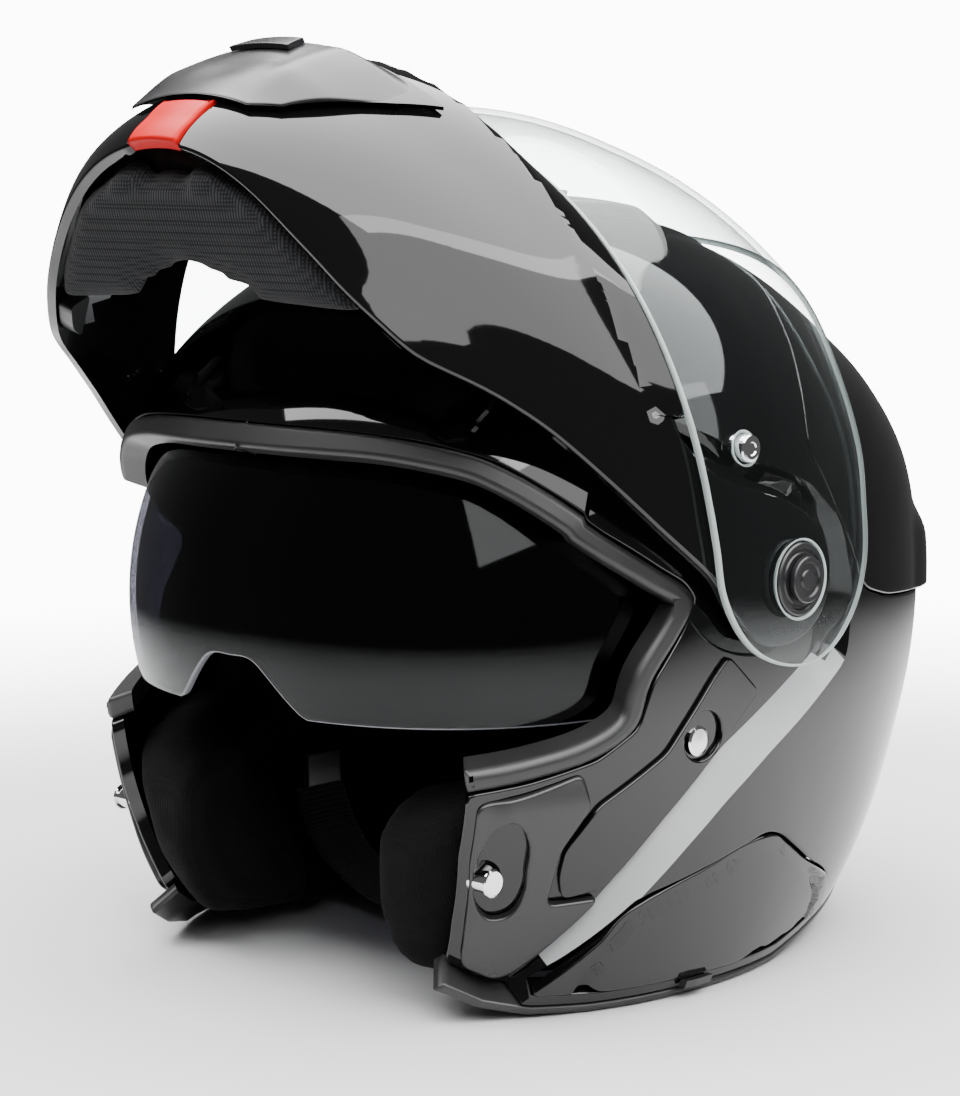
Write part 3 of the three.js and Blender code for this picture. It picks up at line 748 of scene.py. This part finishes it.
GLOSS_BLACK = material("gloss_black", (0.002, 0.002, 0.0022), 0.035, scale=25)
# painted highlight: a pale grey that stands in for the lights' reflection along the chamfer's lower
# rear run
PAINTED_CHAMFER_HIGHLIGHT = material("chamfer_highlight_painted", (0.3, 0.305, 0.31), 0.25, mottle=0.06, scale=20)
SATIN = material("satin_black", (0.012, 0.012, 0.013), 0.3, bump=0.00004, bump_scale=1800)
RUBBER = material("rubber_black", (0.014, 0.014, 0.0145), 0.42, bump=0.00004, bump_scale=1500)
CHROME = material("chrome", (0.82, 0.82, 0.84), 0.07, metal=1.0, mottle=0.03)
STEEL = material("plain_steel", (0.5, 0.5, 0.52), 0.32, metal=1.0, bump=0.00002, bump_scale=2500)
RED = material("red_gloss", (0.5, 0.003, 0.005), 0.32, mottle=0.08, Specular_IOR_Level=0.12)
GREY = material("grey_satin", (0.035, 0.035, 0.037), 0.36, bump=0.00003, bump_scale=2000)
FOAM = material("foam_black", (0.01, 0.009, 0.0085), 0.75, mottle=0.3, scale=300, bump=0.0003,
                bump_scale=900, Specular_IOR_Level=0.1)
LINER = material("liner_brown_black", (0.02, 0.017, 0.015), 0.5, mottle=0.25, scale=120,
                 bump=0.00006, bump_scale=1200, Specular_IOR_Level=0.2)
FABRIC = woven("lining_fabric", (0.0035, 0.0035, 0.0038), 330, rough=0.95, sheen=0.01)
MESH = woven("mesh_fabric", (0.032, 0.033, 0.036), 260, bump=0.0004, contrast=0.8, sheen=0.06)
WEBBING = woven("strap_webbing", (0.014, 0.014, 0.015), 420, rough=0.8, bump=0.0004)
CLEAR = see_through("clear_lens", (0.93, 0.945, 0.945), 0.03, 0.02)
CLEAR_RIM = material("clear_lens_rim", (0.33, 0.38, 0.37), 0.15, mottle=0.1)
SMOKED = see_through("smoked_lens", (0.2, 0.2, 0.225), 0.04, 0.02)
SMOKED_RIM = material("smoked_lens_rim", (0.16, 0.165, 0.18), 0.2, mottle=0.1)

# ---------------------------------------------------------------- the shell and its trim


def side_places(skin, chart):
    """Where chart points on the skin lie in the side view."""
    return skin.place(chart)[:, 1:]


SEAT_LOOP = filleted(SEAT, 5)
CHAMFER_LOOP = filleted(CHAMFER, 5)
SEAT_DEPTH = 7.5


def seat_height(places):
    """0 on the shell, falling across the chamfer to the seat that the bar's arms lie in."""
    inner = np.maximum(signed(places, SEAT_LOOP), 0)
    outer = np.maximum(-signed(places, CHAMFER_LOOP), 0)
    return -SEAT_DEPTH * outer / np.maximum(inner + outer, 1e-6)


def shell_height(chart):
    return seat_height(side_places(SHELL, chart))


def shell_band(chart):
    """1 on the chamfer, 0 elsewhere."""
    height = seat_height(side_places(SHELL, chart))
    return ((height < -0.05) & (height > 0.05 - SEAT_DEPTH)).astype(int)


def chamfer_painted_highlight(chart):
    """The lower, rear run of the chamfer, which takes the pale second material as a painted highlight.
    """
    places = side_places(SHELL, chart)
    return (shell_band(chart) == 1) & (places[:, 1] < -30) & (places[:, 0] < 78)


def crown_relief(chart):
    """Low ridges that run back over the crown on both sides of the vent."""
    x, f, z = SHELL.place(chart).T
    along = ramp(f, -95, -60) * ramp(-f, -66, -30) * (z > 0)
    ridge = np.exp(-((np.abs(x) - 46 - 0.06 * f) / 5.0) ** 2)
    return 1.6 * along * ridge


def guide(skin, loop, step=2.0):
    """The loop as an open run of chart points, a little short of the centre plane."""
    path = on_chart(skin, loop, step / skin.width)
    return path[np.hypot(*path.T) < CENTRE - 0.02]


def build_shell():
    boundary = EYEPORT[:-1] + CHEEK[:-1] + RIM
    region = list(filleted(boundary, 2.5)[2:-3]) + [(-FAR, -117), (-FAR, FAR), (FAR, FAR), (FAR, 53)]
    loops = [on_chart(SHELL, region, 2.0 / SHELL.width)]
    loops.append(on_chart(SHELL, filleted(COVER, 4), 1.5 / SHELL.width))
    loops.append(on_chart(SHELL, filleted(FAIRING, 6), 2.0 / SHELL.width))
    loops.append(on_chart(SHELL, circle(PIVOT_HOLE, 0, 0), 1.0 / SHELL.width))
    # the chamfer's lower rear run takes a pale second material, a painted highlight
    panel = Panel(SHELL, loops, 4.5, shell_height, rim=0.7, step=2.6, bands=shell_band,
                  guides=[guide(SHELL, SEAT_LOOP), guide(SHELL, CHAMFER_LOOP)], relief=crown_relief,
                  painted_light_faces=chamfer_painted_highlight)
    claim(panel.whole("outer_shell_moulding", GLOSS_BLACK, second=PAINTED_CHAMFER_HIGHLIGHT), "shell", "gloss_shell",
          "outer_shell")


def build_gasket():
    lip = np.asarray(flow(EYEPORT, closed=False, steps=4))
    band = np.concatenate([moved(lip, -0.4, False), moved(lip, -8.2, False)[::-1]])
    panel = Panel(SHELL, [on_chart(SHELL, band, 1.6 / SHELL.width)], 9.5,
                  lambda chart: shell_height(chart) + 0.9, rim=2.6, step=2.4)
    claim(panel.whole("eyeport_gasket_rubber", RUBBER), "shell", "rubber_trim", "eyeport_gasket")


def build_trim():
    edge = np.asarray(RIM, float)
    band = np.concatenate([moved(edge, -0.35, False), moved(edge, -3.0, False)[::-1]])
    panel = Panel(SHELL, [on_chart(SHELL, band, 1.8 / SHELL.width)], 11.5, 0.5, rim=1.1, step=2.2)
    claim(panel.whole("bottom_trim_rubber", RUBBER), "shell", "rubber_trim", "bottom_trim")


def pair(panel, name, mat, body, slot, node, swung=False, second=None):
    """The panel on the left and its mirror image on the right."""
    claim(panel.left(f"{name}_left", mat, swung, second), body, slot, f"{node}_left")
    claim(panel.right(f"{name}_right", mat, swung, second), body, slot, f"{node}_right")


def build_side_covers():
    face = flow(COVER_FACE, steps=5)

    def height(chart):
        """A raised face inside a concave channel, and a lip outside it."""
        s = signed(side_places(SHELL, chart), face)
        channel = ramp(s, -1.0, 1.2) * (1 - ramp(s, 3.0, 6.5))
        return 0.9 - 3.0 * channel

    outline = grown(filleted(COVER, 4), -0.5)
    panel = Panel(SHELL, [on_chart(SHELL, outline, 1.2 / SHELL.width)], 3.4, height, rim=0.6, step=1.5)
    pair(panel, "side_cover_moulding", GLOSS_BLACK, "shell", "gloss_shell", "side_cover")


def build_fairing():
    def lip(chart):
        """The spoiler lip that swells along the lower rear edge."""
        f, z = side_places(SHELL, chart).T
        return 3.6 * ramp(-f, 92, 112) * ramp(-z, -14, 0)

    outline = grown(filleted(FAIRING, 6), -0.5)
    panel = Panel(SHELL, [on_chart(SHELL, outline, 2.0 / SHELL.width)], 2.7, 0.1, rim=0.6, step=2.6,
                  relief=lip)
    claim(panel.whole("rear_fairing_moulding", GLOSS_BLACK), "shell", "gloss_shell", "rear_fairing")
    groove = Panel(SHELL, [on_chart(SHELL, grown(GROOVE, -0.4), 2.0 / SHELL.width)], 1.4, -3.2, rim=0.3)
    claim(groove.whole("rear_grille_moulding", SATIN), "shell", "satin_black", "rear_grille")


def build_seat_panels():
    loops = [on_chart(SHELL, filleted(cut_by_circle(ARM_SEAT, 27.3), 2.5), 1.2 / SHELL.width),
             on_chart(SHELL, circle(8.5, *STUD), 1.0 / SHELL.width)]
    panel = Panel(SHELL, loops, 1.1, -5.9, rim=0.5, step=1.8)
    pair(panel, "arm_seat_moulding", GLOSS_BLACK, "shell", "gloss_shell", "arm_seat")

    def facets(chart):
        """The latch housing steps down towards the cheek and falls away at its top facet."""
        f, z = side_places(SHELL, chart).T
        top = ramp(z, -70, -57)
        front = ramp(f + 0.05 * z, 97, 104)
        return -1.6 * top - 1.2 * front

    loops = [on_chart(SHELL, filleted(LATCH_PLATE, 3), 1.2 / SHELL.width),
             on_chart(SHELL, flow(BEAN, steps=5), 0.9 / SHELL.width)]
    panel = Panel(SHELL, loops, 2.3, -4.8, rim=0.8, step=1.6, relief=facets)
    pair(panel, "latch_housing_moulding", SATIN, "shell", "satin_black", "latch_plate")


def cut_by_circle(outline, radius):
    """The outline with its points inside a circle about the pivot pushed out to the circle."""
    points = np.asarray(outline, float)
    reach = np.linalg.norm(points, axis=1)
    return points * np.maximum(1, radius / reach)[:, None]


def build_round_parts():
    """Pivot caps, hubs, studs and pins, each turned about an axis along X."""
    parts = [
        ("pivot_screw", "pivot_cap", SATIN, "shell", "satin_black", (0, 0), False,
         [(112.6, 0), (112.6, 5), (134.6, 5), (134.6, 7), (135.2, 7.6), (136.6, 7.6), (137, 7.2),
          (137, 5.8), (136.3, 5.4), (136.3, 3.4), (136.9, 3.0), (136.9, 0)]),
        ("side_stud", "side_stud_turned", CHROME, "shell", "chrome_pins", STUD, False,
         [(113.8, 0), (113.8, 2.6), (117.8, 2.6), (117.8, 4.6), (118.3, 5.0), (119.1, 4.9),
          (119.5, 3.9), (119.6, 0)]),
        ("latch_pin", "latch_pin_turned", CHROME, "shell", "chrome_pins", LATCH, False,
         [(81.6, 0), (81.6, 3.6), (90.2, 3.6), (90.2, 4.3), (90.5, 4.6), (90.9, 4.5), (91.2, 3.8),
          (91.2, 0)]),
        ("visor_hub", "visor_hub_ring", SATIN, "visor", "satin_black", (0, 0), True,
         [(131.9, 5.4), (131.9, 12), (133.7, 12), (134.2, 11.5), (134.2, 10.2), (133.5, 9.8),
          (133.5, 8.9), (134.0, 8.5), (134.0, 5.4), (131.9, 5.4)]),
        ("lens_pin", "lens_pin_turned", CHROME, "visor", "chrome_pins", LENS_PIN, True,
         [(127, 0), (127, 4.5), (132.6, 4.5), (133.2, 4.2), (133.4, 3.4), (133.4, 2.2),
          (133.0, 1.9), (133.0, 0)]),
    ]
    for node, name, mat, body, slot, centre, swung, profile in parts:
        for side, word in ((1, "left"), (-1, "right")):
            piece = lathe(f"{name}_{word}", profile, centre, mat, swung, side)
            claim(piece, body, slot, f"{node}_{word}")


# ---------------------------------------------------------------- the chin bar


def bar_rim(chart, points, height):
    """Above the crease the bar's wall leans in towards the visor's lower edge."""
    z = points[:, 2]
    lean = np.clip((z - CREASE) / (BAR_RIM - CREASE), 0, 1) * ramp(points[:, 1], 60, 72)
    slim = VISOR.place(chart, height - 1)
    outward = np.linalg.norm(slim, axis=1) > np.linalg.norm(points, axis=1)
    lean = np.where(outward, 0, lean)
    return points + (slim - points) * lean[:, None]


def bar_band(chart):
    """1 on the leaning rim, 0 elsewhere."""
    places = side_places(BAR, chart)
    return ((places[:, 1] > CREASE) & (places[:, 0] > 68)).astype(int)


def bar_chart(half, top):
    """The bar's outline as a chart loop, with the button's notch cut out of its lower edge."""
    outline = on_chart(BAR, filleted(BAR_EDGE, 7), 1.8 / BAR.width)
    x, f, z = BAR.place(outline).T
    in_notch = (x < half) & (f > 0) & (z < top)
    notch = BAR.front_chart([(half, z) for z in np.linspace(-128.6, top + 2, 14)]
                            + [(half - 1.2, top + 0.4), (half - 2.4, top)]
                            + [(across, top) for across in np.linspace(half - 4, 0, 6)])
    cut = np.nonzero(in_notch)[0]
    wraps = cut[-1] - cut[0] >= len(outline) / 2
    start = cut[np.argmax(np.diff(cut)) + 1] if wraps else cut[0]
    rest = np.roll(outline, -start, 0)[np.roll(~in_notch, -start)]
    if np.linalg.norm(notch[0] - rest[-1]) > np.linalg.norm(notch[-1] - rest[-1]):
        notch = notch[::-1]
    return np.concatenate([rest, notch])


def build_bar():
    loops = [bar_chart(BUTTON_HALF + BUTTON_GAP, BUTTON_TOP + BUTTON_GAP),
             on_chart(BAR, circle(PIVOT_HOLE, 0, 0), 1.0 / BAR.width)]
    panel = Panel(BAR, loops, 3.5, 0.0, rim=1.0, step=2.6, bands=bar_band, blend=bar_rim)
    claim(panel.whole("chin_bar_moulding", GLOSS_BLACK, True), "chin_bar", "gloss_shell",
          "chin_bar_shell")

    cap_loop = on_chart(BAR, filleted(ARM_CAP, 2.5), 1.0 / BAR.width)
    cap = Panel(BAR, [cap_loop], 5.0, -3.9, rim=0.7, step=1.5)
    pair(cap, "arm_cap_moulding", GREY, "chin_bar", "grey_plastic", "arm_cap", True)


def onto_seam(point):
    """The chart point moved straight out to the centre plane."""
    return point * CENTRE / math.hypot(*point)


def seam_run(start, end, steps):
    """Chart points along the centre plane from beside start to beside end."""
    angles = np.linspace(math.atan2(start[1], start[0]), math.atan2(end[1], end[0]), steps)
    return np.stack([CENTRE * np.cos(angles), CENTRE * np.sin(angles)], 1)


def anticlockwise(loop):
    return loop if area(loop) > 0 else loop[::-1]


def build_button():
    side = [(BUTTON_HALF, z) for z in np.linspace(BUTTON_LOW, BUTTON_TOP + 1.5, 16)]
    over = [(BUTTON_HALF - 0.8, BUTTON_TOP + 0.3)]
    over += [(x, BUTTON_TOP) for x in np.linspace(BUTTON_HALF - 2, 0, 10)]
    edge = BAR.front_chart(side + over)
    edge[-1] = onto_seam(edge[-1])
    foot = BAR.front_chart([(x, BUTTON_LOW) for x in np.linspace(0.5, BUTTON_HALF - 1, 8)])
    seam = seam_run(edge[-1], foot[0], 14)[1:]
    loop = anticlockwise(np.concatenate([edge, seam, foot[1:]]))

    def dip(chart):
        """A shallow dip across the middle of the button for a fingertip."""
        z = side_places(BAR, chart)[:, 1]
        return -0.5 * np.exp(-((z + 120) / 3.5) ** 2)

    panel = Panel(BAR, [loop], 4.6, 1.4, rim=1.2, step=1.2, relief=dip)
    claim(panel.whole("release_button_moulding", RED, True), "release_button", "red_plastic",
          "release_button")


def half_front(outline, skin, up=False):
    """The left half of an outline seen from the front or above, as a chart loop closed by the
    centre plane."""
    points = [p for p in outline if p[0] >= 0]
    points.sort(key=lambda p: -p[1])
    run = [(0.0, points[0][1])] + points + [(0.0, points[-1][1])]
    dense = []
    for a, b in zip(run, run[1:]):
        a, b = np.array(a), np.array(b)
        n = max(int(np.linalg.norm(b - a) / 1.5), 2)
        dense += [a + (b - a) * t for t in np.linspace(0, 1, n, endpoint=False)]
    dense.append(np.array(run[-1]))
    chart = skin.front_chart(np.array(dense), up)
    for end in (0, -1):
        chart[end] = onto_seam(chart[end])
    return anticlockwise(np.concatenate([chart, seam_run(chart[-1], chart[0], 14)[1:-1]]))


def build_vents():
    def scoop(chart):
        """The chin vent: a raised hood with a dished middle and wings that fall to its sides."""
        x, _, z = BAR.place(chart).T
        wing = 1 - ramp(np.abs(x), 26, 58)
        hood = ramp(-z, 58, 66) * (1 - 0.8 * ramp(-z, 88, 109))
        keel = np.exp(-((np.abs(x) - 25) / 5) ** 2)
        dish = np.exp(-(x / 15) ** 2) * np.exp(-((z + 92) / 9) ** 2)
        return -4.6 + 4.6 * wing * hood + 0.6 * keel * hood - 1.6 * dish

    panel = Panel(BAR, [half_front(VENT, BAR)], 4.0, 6.4, rim=0.9, step=1.6, relief=scoop)
    claim(panel.whole("chin_vent_moulding", SATIN, True), "chin_bar", "satin_black", "chin_vent")
    shutter = [(-13, -76), (13, -76), (11, -67), (-11, -67)]
    panel = Panel(BAR, [half_front(shutter, BAR)], 2.0, 8.7, rim=0.5, step=1.2)
    claim(panel.whole("chin_vent_shutter_moulding", SATIN, True), "chin_vent_shutter",
          "satin_black", "chin_vent_shutter")

    def hood(chart):
        """The crown vent: low at its front, with two scoops and a spine between them."""
        x, f, _ = SHELL.place(chart).T
        rise = ramp(-f, -24, 0) * (1 - 0.7 * ramp(-f, 25, 50))
        scoops = np.exp(-((np.abs(x) - 17) / 8) ** 2) * np.exp(-((f - 6) / 12) ** 2)
        return -4.4 + 4.2 * rise - 2.2 * scoops

    crown = [(-16, 24), (16, 24), (30, 4), (38, -24), (30, -50), (-30, -50), (-38, -24), (-30, 4)]
    panel = Panel(SHELL, [half_front(crown, SHELL, up=True)], 4.0, 5.8, rim=1.0, step=1.6,
                  relief=hood)
    claim(panel.whole("crown_vent_moulding", SATIN), "shell", "satin_black", "crown_vent")
    slider = [(-9, -12), (9, -12), (9, -24), (-9, -24)]
    panel = Panel(SHELL, [half_front(slider, SHELL, up=True)], 2.0, 7.7, rim=0.5, step=1.2)
    claim(panel.whole("crown_vent_slider_moulding", SATIN), "crown_vent_slider", "satin_black",
          "crown_vent_slider")


# ---------------------------------------------------------------- lenses


def build_visor():
    loops = [on_chart(VISOR, flow(VISOR_EDGE[1:-1], closed=False).tolist() + [(180, 176), (240, -38)],
                      1.8 / VISOR.width),
             on_chart(VISOR, circle(12.35, 0, 0), 1.2 / VISOR.width),
             on_chart(VISOR, circle(4.85, *LENS_PIN), 0.8 / VISOR.width)]
    panel = Panel(VISOR, loops, 2.0, 0.0, rim=0.9, step=3.0)
    claim(panel.whole("visor_lens_moulding", CLEAR, True, CLEAR_RIM), "visor", "clear_lens",
          "visor_lens")


def build_sun_visor():
    side = flow([(88, SUN_HIGH), (70, 36), (48, 12), (28, -3), (17, -6), (13, -15), (18, -23),
                 (28, -25), (36, -28), (42, -38), (52, SUN_LOW)], closed=False, steps=5)
    brow = SUN.chart(np.array([[94.0, SUN_HIGH]]))
    side = SUN.chart(side)
    foot = SUN.chart(np.array([[52.0, SUN_LOW]]))
    brow_x, foot_x = SUN.place(np.concatenate([brow, foot]))[:, 0]
    low = [(x, SUN_LOW) for x in np.linspace(foot_x - 1, 31, 40, endpoint=False)]
    nose = flow([(31, SUN_LOW), (27.5, -40), (13, -26), (8, -23.6), (0, -23.5)], closed=False)
    lower = SUN.front_chart(np.array(low + nose.tolist()))
    lower[-1] = onto_seam(lower[-1])
    upper = SUN.front_chart([(x, SUN_HIGH) for x in np.linspace(0.0, brow_x, 50)])
    upper[0] = onto_seam(upper[0])
    seam = seam_run(lower[-1], upper[0], 60)[1:-1]
    loop = anticlockwise(np.concatenate([upper[:-1], side, lower, seam]))
    hole = on_chart(SUN, circle(3.35, *SUN_AXIS, 24), 0.8 / SUN.width)
    panel = Panel(SUN, [loop, hole], 2.2, 0.0, rim=0.8, step=2.4)
    claim(panel.whole("sun_visor_lens_moulding", SMOKED, False, SMOKED_RIM), "sun_visor",
          "smoked_lens", "sun_visor_lens")


# ---------------------------------------------------------------- soft parts


SOFT_PARTS = [
    # node, material, body, slot, furthest swell in m, fill
    ("cheek_pad_left", FABRIC, "shell", "lining_fabric", 0.003, 0.7),
    ("cheek_pad_right", FABRIC, "shell", "lining_fabric", 0.003, 0.7),
    ("neck_roll", FABRIC, "shell", "lining_fabric", 0.002, 0.7),
    ("crown_pad", FABRIC, "shell", "lining_fabric", 0.002, 0.5),
    ("chin_mesh_pad", MESH, "chin_bar", "mesh_fabric", 0.0012, 0.6),
    ("chin_liner", LINER, "chin_bar", "liner_foam", 0.0008, 0.5),
]


def positions(piece):
    flat = np.empty(len(piece.data.vertices) * 3)
    piece.data.vertices.foreach_get("co", flat)
    return flat.reshape(-1, 3)


def apply_modifiers(piece):
    """The piece's mesh becomes what its modifiers make of it."""
    graph = bpy.context.evaluated_depsgraph_get()
    mesh = bpy.data.meshes.new_from_object(piece.evaluated_get(graph))
    piece.modifiers.clear()
    piece.data = mesh


def cover_of(node, mat):
    """A copy of a soft CAD node, remeshed finely and with its edges rounded."""
    source = frame["nodes"][node]
    piece = bpy.data.objects.new(f"{node}_cover", source.data.copy())
    piece.matrix_world = source.matrix_world
    bpy.context.scene.collection.objects.link(piece)
    piece.data.materials.clear()
    piece.data.materials.append(mat)
    remesh = piece.modifiers.new("remesh", "REMESH")
    remesh.mode = "VOXEL"
    remesh.voxel_size = 0.004 if node != "chin_mesh_pad" else 0.003
    rounding = piece.modifiers.new("rounding", "SMOOTH")
    rounding.factor = 0.5
    rounding.iterations = 4
    apply_modifiers(piece)
    return piece


def inflate(piece, cap):
    """Swells a pad by cloth simulation and keeps the result, moving no point more than cap."""
    before = positions(piece)
    cloth = piece.modifiers.new("cloth", "CLOTH")
    cloth.settings.use_pressure = True
    cloth.settings.uniform_pressure_force = 4.0
    cloth.settings.effector_weights.gravity = 0
    cloth.settings.quality = 5
    for number in range(1, 21):
        bpy.context.scene.frame_set(number)
    apply_modifiers(piece)
    bpy.context.scene.frame_set(1)
    travel = positions(piece) - before
    reach = np.linalg.norm(travel, axis=1)[:, None]
    travel *= np.minimum(1, cap / np.maximum(reach, 1e-9))
    piece.data.vertices.foreach_set("co", (before + travel).ravel())


def build_soft_parts():
    for node, mat, body, slot, cap, fill in SOFT_PARTS:
        piece = cover_of(node, mat)
        inflate(piece, cap)
        smooth = piece.modifiers.new("smooth", "SUBSURF")
        smooth.levels = 1
        apply_modifiers(piece)
        piece.data.polygons.foreach_set("use_smooth", [True] * len(piece.data.polygons))
        claim(piece, body, slot, node)


# ---------------------------------------------------------------- chin strap


def ribbon(name, path, width, thick, f, mat, side):
    """A flat woven strap along a front-view path of (x, z) points, with rolled edges."""
    track = flow(path, closed=False, steps=8)
    run = np.gradient(track, axis=0)
    normal = unit(np.stack([run[:, 1], -run[:, 0]], 1))
    section = []
    for k in range(20):
        turn = 2 * math.pi * k / 20
        across = np.sign(math.cos(turn)) * abs(math.cos(turn)) ** 0.25 * width / 2
        through = math.sin(turn) * thick / 2
        section.append((across, through))
    points = []
    for (x, z), (nx, nz) in zip(track, normal):
        for across, through in section:
            points.append((side * (x + nx * through), f + across, z + nz * through))
    faces = []
    n = len(section)
    for i in range(len(track) - 1):
        for k in range(n):
            k1 = (k + 1) % n
            faces.append((i * n + k, i * n + k1, (i + 1) * n + k1, (i + 1) * n + k))
    faces.append(tuple(range(n))[::-1])
    faces.append(tuple((len(track) - 1) * n + k for k in range(n)))
    return new_mesh(name, np.array(points), faces, mat)


def plate(name, low, high, bevel, mat, body, slot, node):
    """A bevelled metal or plastic plate between two (x, f, z) corners."""
    low, high = np.array(low, float), np.array(high, float)
    corners = np.array([(x, f, z) for x in (0, 1) for f in (0, 1) for z in (0, 1)])
    points = low + corners * (high - low)
    faces = [(0, 1, 3, 2), (4, 6, 7, 5), (0, 4, 5, 1), (2, 3, 7, 6), (0, 2, 6, 4), (1, 5, 7, 3)]
    piece = new_mesh(name, points, faces, mat)
    rounding = piece.modifiers.new("bevel", "BEVEL")
    rounding.width = bevel * MM
    rounding.segments = 4
    apply_modifiers(piece)
    piece.data.polygons.foreach_set("use_smooth", [True] * len(piece.data.polygons))
    return claim(piece, body, slot, node)


STRAP_F = 18.0


def build_strap():
    path = [(77.5, -96.5), (70, -112), (58, -123), (40, -131), (28, -133.4)]
    for side, word in ((1, "left"), (-1, "right")):
        strap = ribbon(f"chin_strap_webbing_{word}", path, 24, 1.5, STRAP_F, WEBBING, side)
        claim(strap, "shell", "strap_webbing", f"chin_strap_{word}")
    plate("buckle_base_plate", (-13, STRAP_F - 13, -136), (26.2, STRAP_F + 13, -132), 1.2, STEEL,
          "shell", "hinge_steel", "buckle_base")
    plate("buckle_tongue_plate", (-26.2, STRAP_F - 9, -135), (-13.4, STRAP_F + 9, -133), 0.7, SATIN,
          "shell", "satin_black", "buckle_tongue")
    plate("buckle_lever_plate", (-10, STRAP_F - 10, -131.6), (22, STRAP_F + 10, -128.6), 1.1, RED,
          "buckle_lever", "red_plastic", "buckle_lever")


# ---------------------------------------------------------------- CAD nodes that stay

STAYING = {
    "eps_liner": FOAM,
    "hinge_plate_left": STEEL,
    "hinge_plate_right": STEEL,
    "sun_visor_pin_left": STEEL,
    "sun_visor_pin_right": STEEL,
    "strap_anchor_left": STEEL,
    "strap_anchor_right": STEEL,
    "latch_hook_left": STEEL,
    "latch_hook_right": STEEL,
    "sun_visor_slider": SATIN,
}


def dress_staying_nodes():
    for node, mat in STAYING.items():
        mesh = frame["nodes"][node]
        mesh.data.materials.clear()
        mesh.data.materials.append(mat)


# ---------------------------------------------------------------- camera, floor and light

AZIMUTH = math.radians(44.0)
ELEVATION = math.radians(8.2)
DISTANCE = 1.0514
ROLL = math.radians(-0.5)
FOCAL = 96.9
TARGET = PIVOT + Vector((-10.3, 0.0, -3.4)) * MM
SURROUND = 12.0                   # brightness of the white surround


def build_camera():
    back = Vector((math.sin(AZIMUTH) * math.cos(ELEVATION),
                   -math.cos(AZIMUTH) * math.cos(ELEVATION), math.sin(ELEVATION)))
    level = Vector((math.cos(AZIMUTH), math.sin(AZIMUTH), 0))
    up = back.cross(level)
    right = level * math.cos(ROLL) + up * math.sin(ROLL)
    up = back.cross(right)
    camera = bpy.data.objects.new("camera", bpy.data.cameras.new("camera"))
    camera.data.lens = FOCAL
    camera.data.sensor_width = 36.0
    camera.data.clip_start = 0.05
    camera.data.clip_end = 100.0
    matrix = Matrix((right, up, back)).transposed().to_4x4()
    matrix.translation = TARGET + back * DISTANCE
    camera.matrix_world = matrix
    bpy.context.scene.collection.objects.link(camera)
    bpy.context.scene.camera = camera


def softbox(name, place, aim, size, power):
    """A rectangular studio light that shines from place towards aim."""
    light = bpy.data.lights.new(name, "AREA")
    light.shape = "RECTANGLE"
    light.size, light.size_y = size
    light.energy = power
    lamp = bpy.data.objects.new(name, light)
    lamp.location = place
    lamp.rotation_euler = (Vector(aim) - Vector(place)).to_track_quat("-Z", "Y").to_euler()
    bpy.context.scene.collection.objects.link(lamp)
    return lamp


def fade_out(mat, start, end):
    """Lets the material fade into what is behind it between two distances from the origin."""
    tree = mat.node_tree
    place = tree.nodes.new("ShaderNodeTexCoord")
    reach = tree.nodes.new("ShaderNodeVectorMath")
    reach.operation = "LENGTH"
    tree.links.new(place.outputs["Object"], reach.inputs[0])
    fade = tree.nodes.new("ShaderNodeMapRange")
    fade.interpolation_type = "SMOOTHSTEP"
    fade.inputs["From Min"].default_value = start
    fade.inputs["From Max"].default_value = end
    tree.links.new(reach.outputs["Value"], fade.inputs["Value"])
    mix = tree.nodes.new("ShaderNodeMixShader")
    tree.links.new(fade.outputs["Result"], mix.inputs["Fac"])
    tree.links.new(tree.nodes["Principled BSDF"].outputs["BSDF"], mix.inputs[1])
    tree.links.new(tree.nodes.new("ShaderNodeBsdfTransparent").outputs["BSDF"], mix.inputs[2])
    tree.links.new(mix.outputs["Shader"], tree.nodes["Material Output"].inputs["Surface"])


def build_studio():
    """A pale floor, a white surround that only the camera sees, and soft lights."""
    floor_white = material("floor_pale", (0.62, 0.62, 0.62), 0.6, mottle=0.004, scale=3)
    fade_out(floor_white, 0.3, 0.85)
    bpy.ops.mesh.primitive_plane_add(size=4, location=(0, 0, -0.0002))
    floor = bpy.context.object
    floor.name = "studio_floor"
    floor.data.materials.append(floor_white)
    glow = bpy.data.materials.new("surround_white")
    glow.use_nodes = True
    shader = glow.node_tree.nodes["Principled BSDF"]
    shader.inputs["Base Color"].default_value = (0, 0, 0, 1)
    shader.inputs["Emission Color"].default_value = (1, 1, 1, 1)
    shader.inputs["Emission Strength"].default_value = SURROUND
    bpy.ops.mesh.primitive_uv_sphere_add(radius=12, location=(0, 0, 0), segments=64, ring_count=32)
    dome = bpy.context.object
    dome.name = "studio_surround"
    dome.data.materials.append(glow)
    dome.visible_glossy = False
    dome.visible_diffuse = False
    dome.visible_shadow = False
    world = bpy.data.worlds.new("studio")
    world.use_nodes = True
    world.node_tree.nodes["Background"].inputs["Color"].default_value = (1, 1, 1, 1)
    world.node_tree.nodes["Background"].inputs["Strength"].default_value = 0.12
    bpy.context.scene.world = world
    softbox("overhead_softbox", (0, 0.1, 1.6), (0, 0.1, 0.1), (3.0, 2.6), 230)
    softbox("side_softbox", (1.45, -0.1, 1.15), (0, 0, 0.15), (2.3, 1.0), 34)


build_camera()
build_studio()
build_shell()
build_gasket()
build_trim()
build_side_covers()
build_fairing()
build_seat_panels()
build_round_parts()
build_bar()
build_button()
build_vents()
build_visor()
build_sun_visor()
build_soft_parts()
build_strap()
dress_staying_nodes()
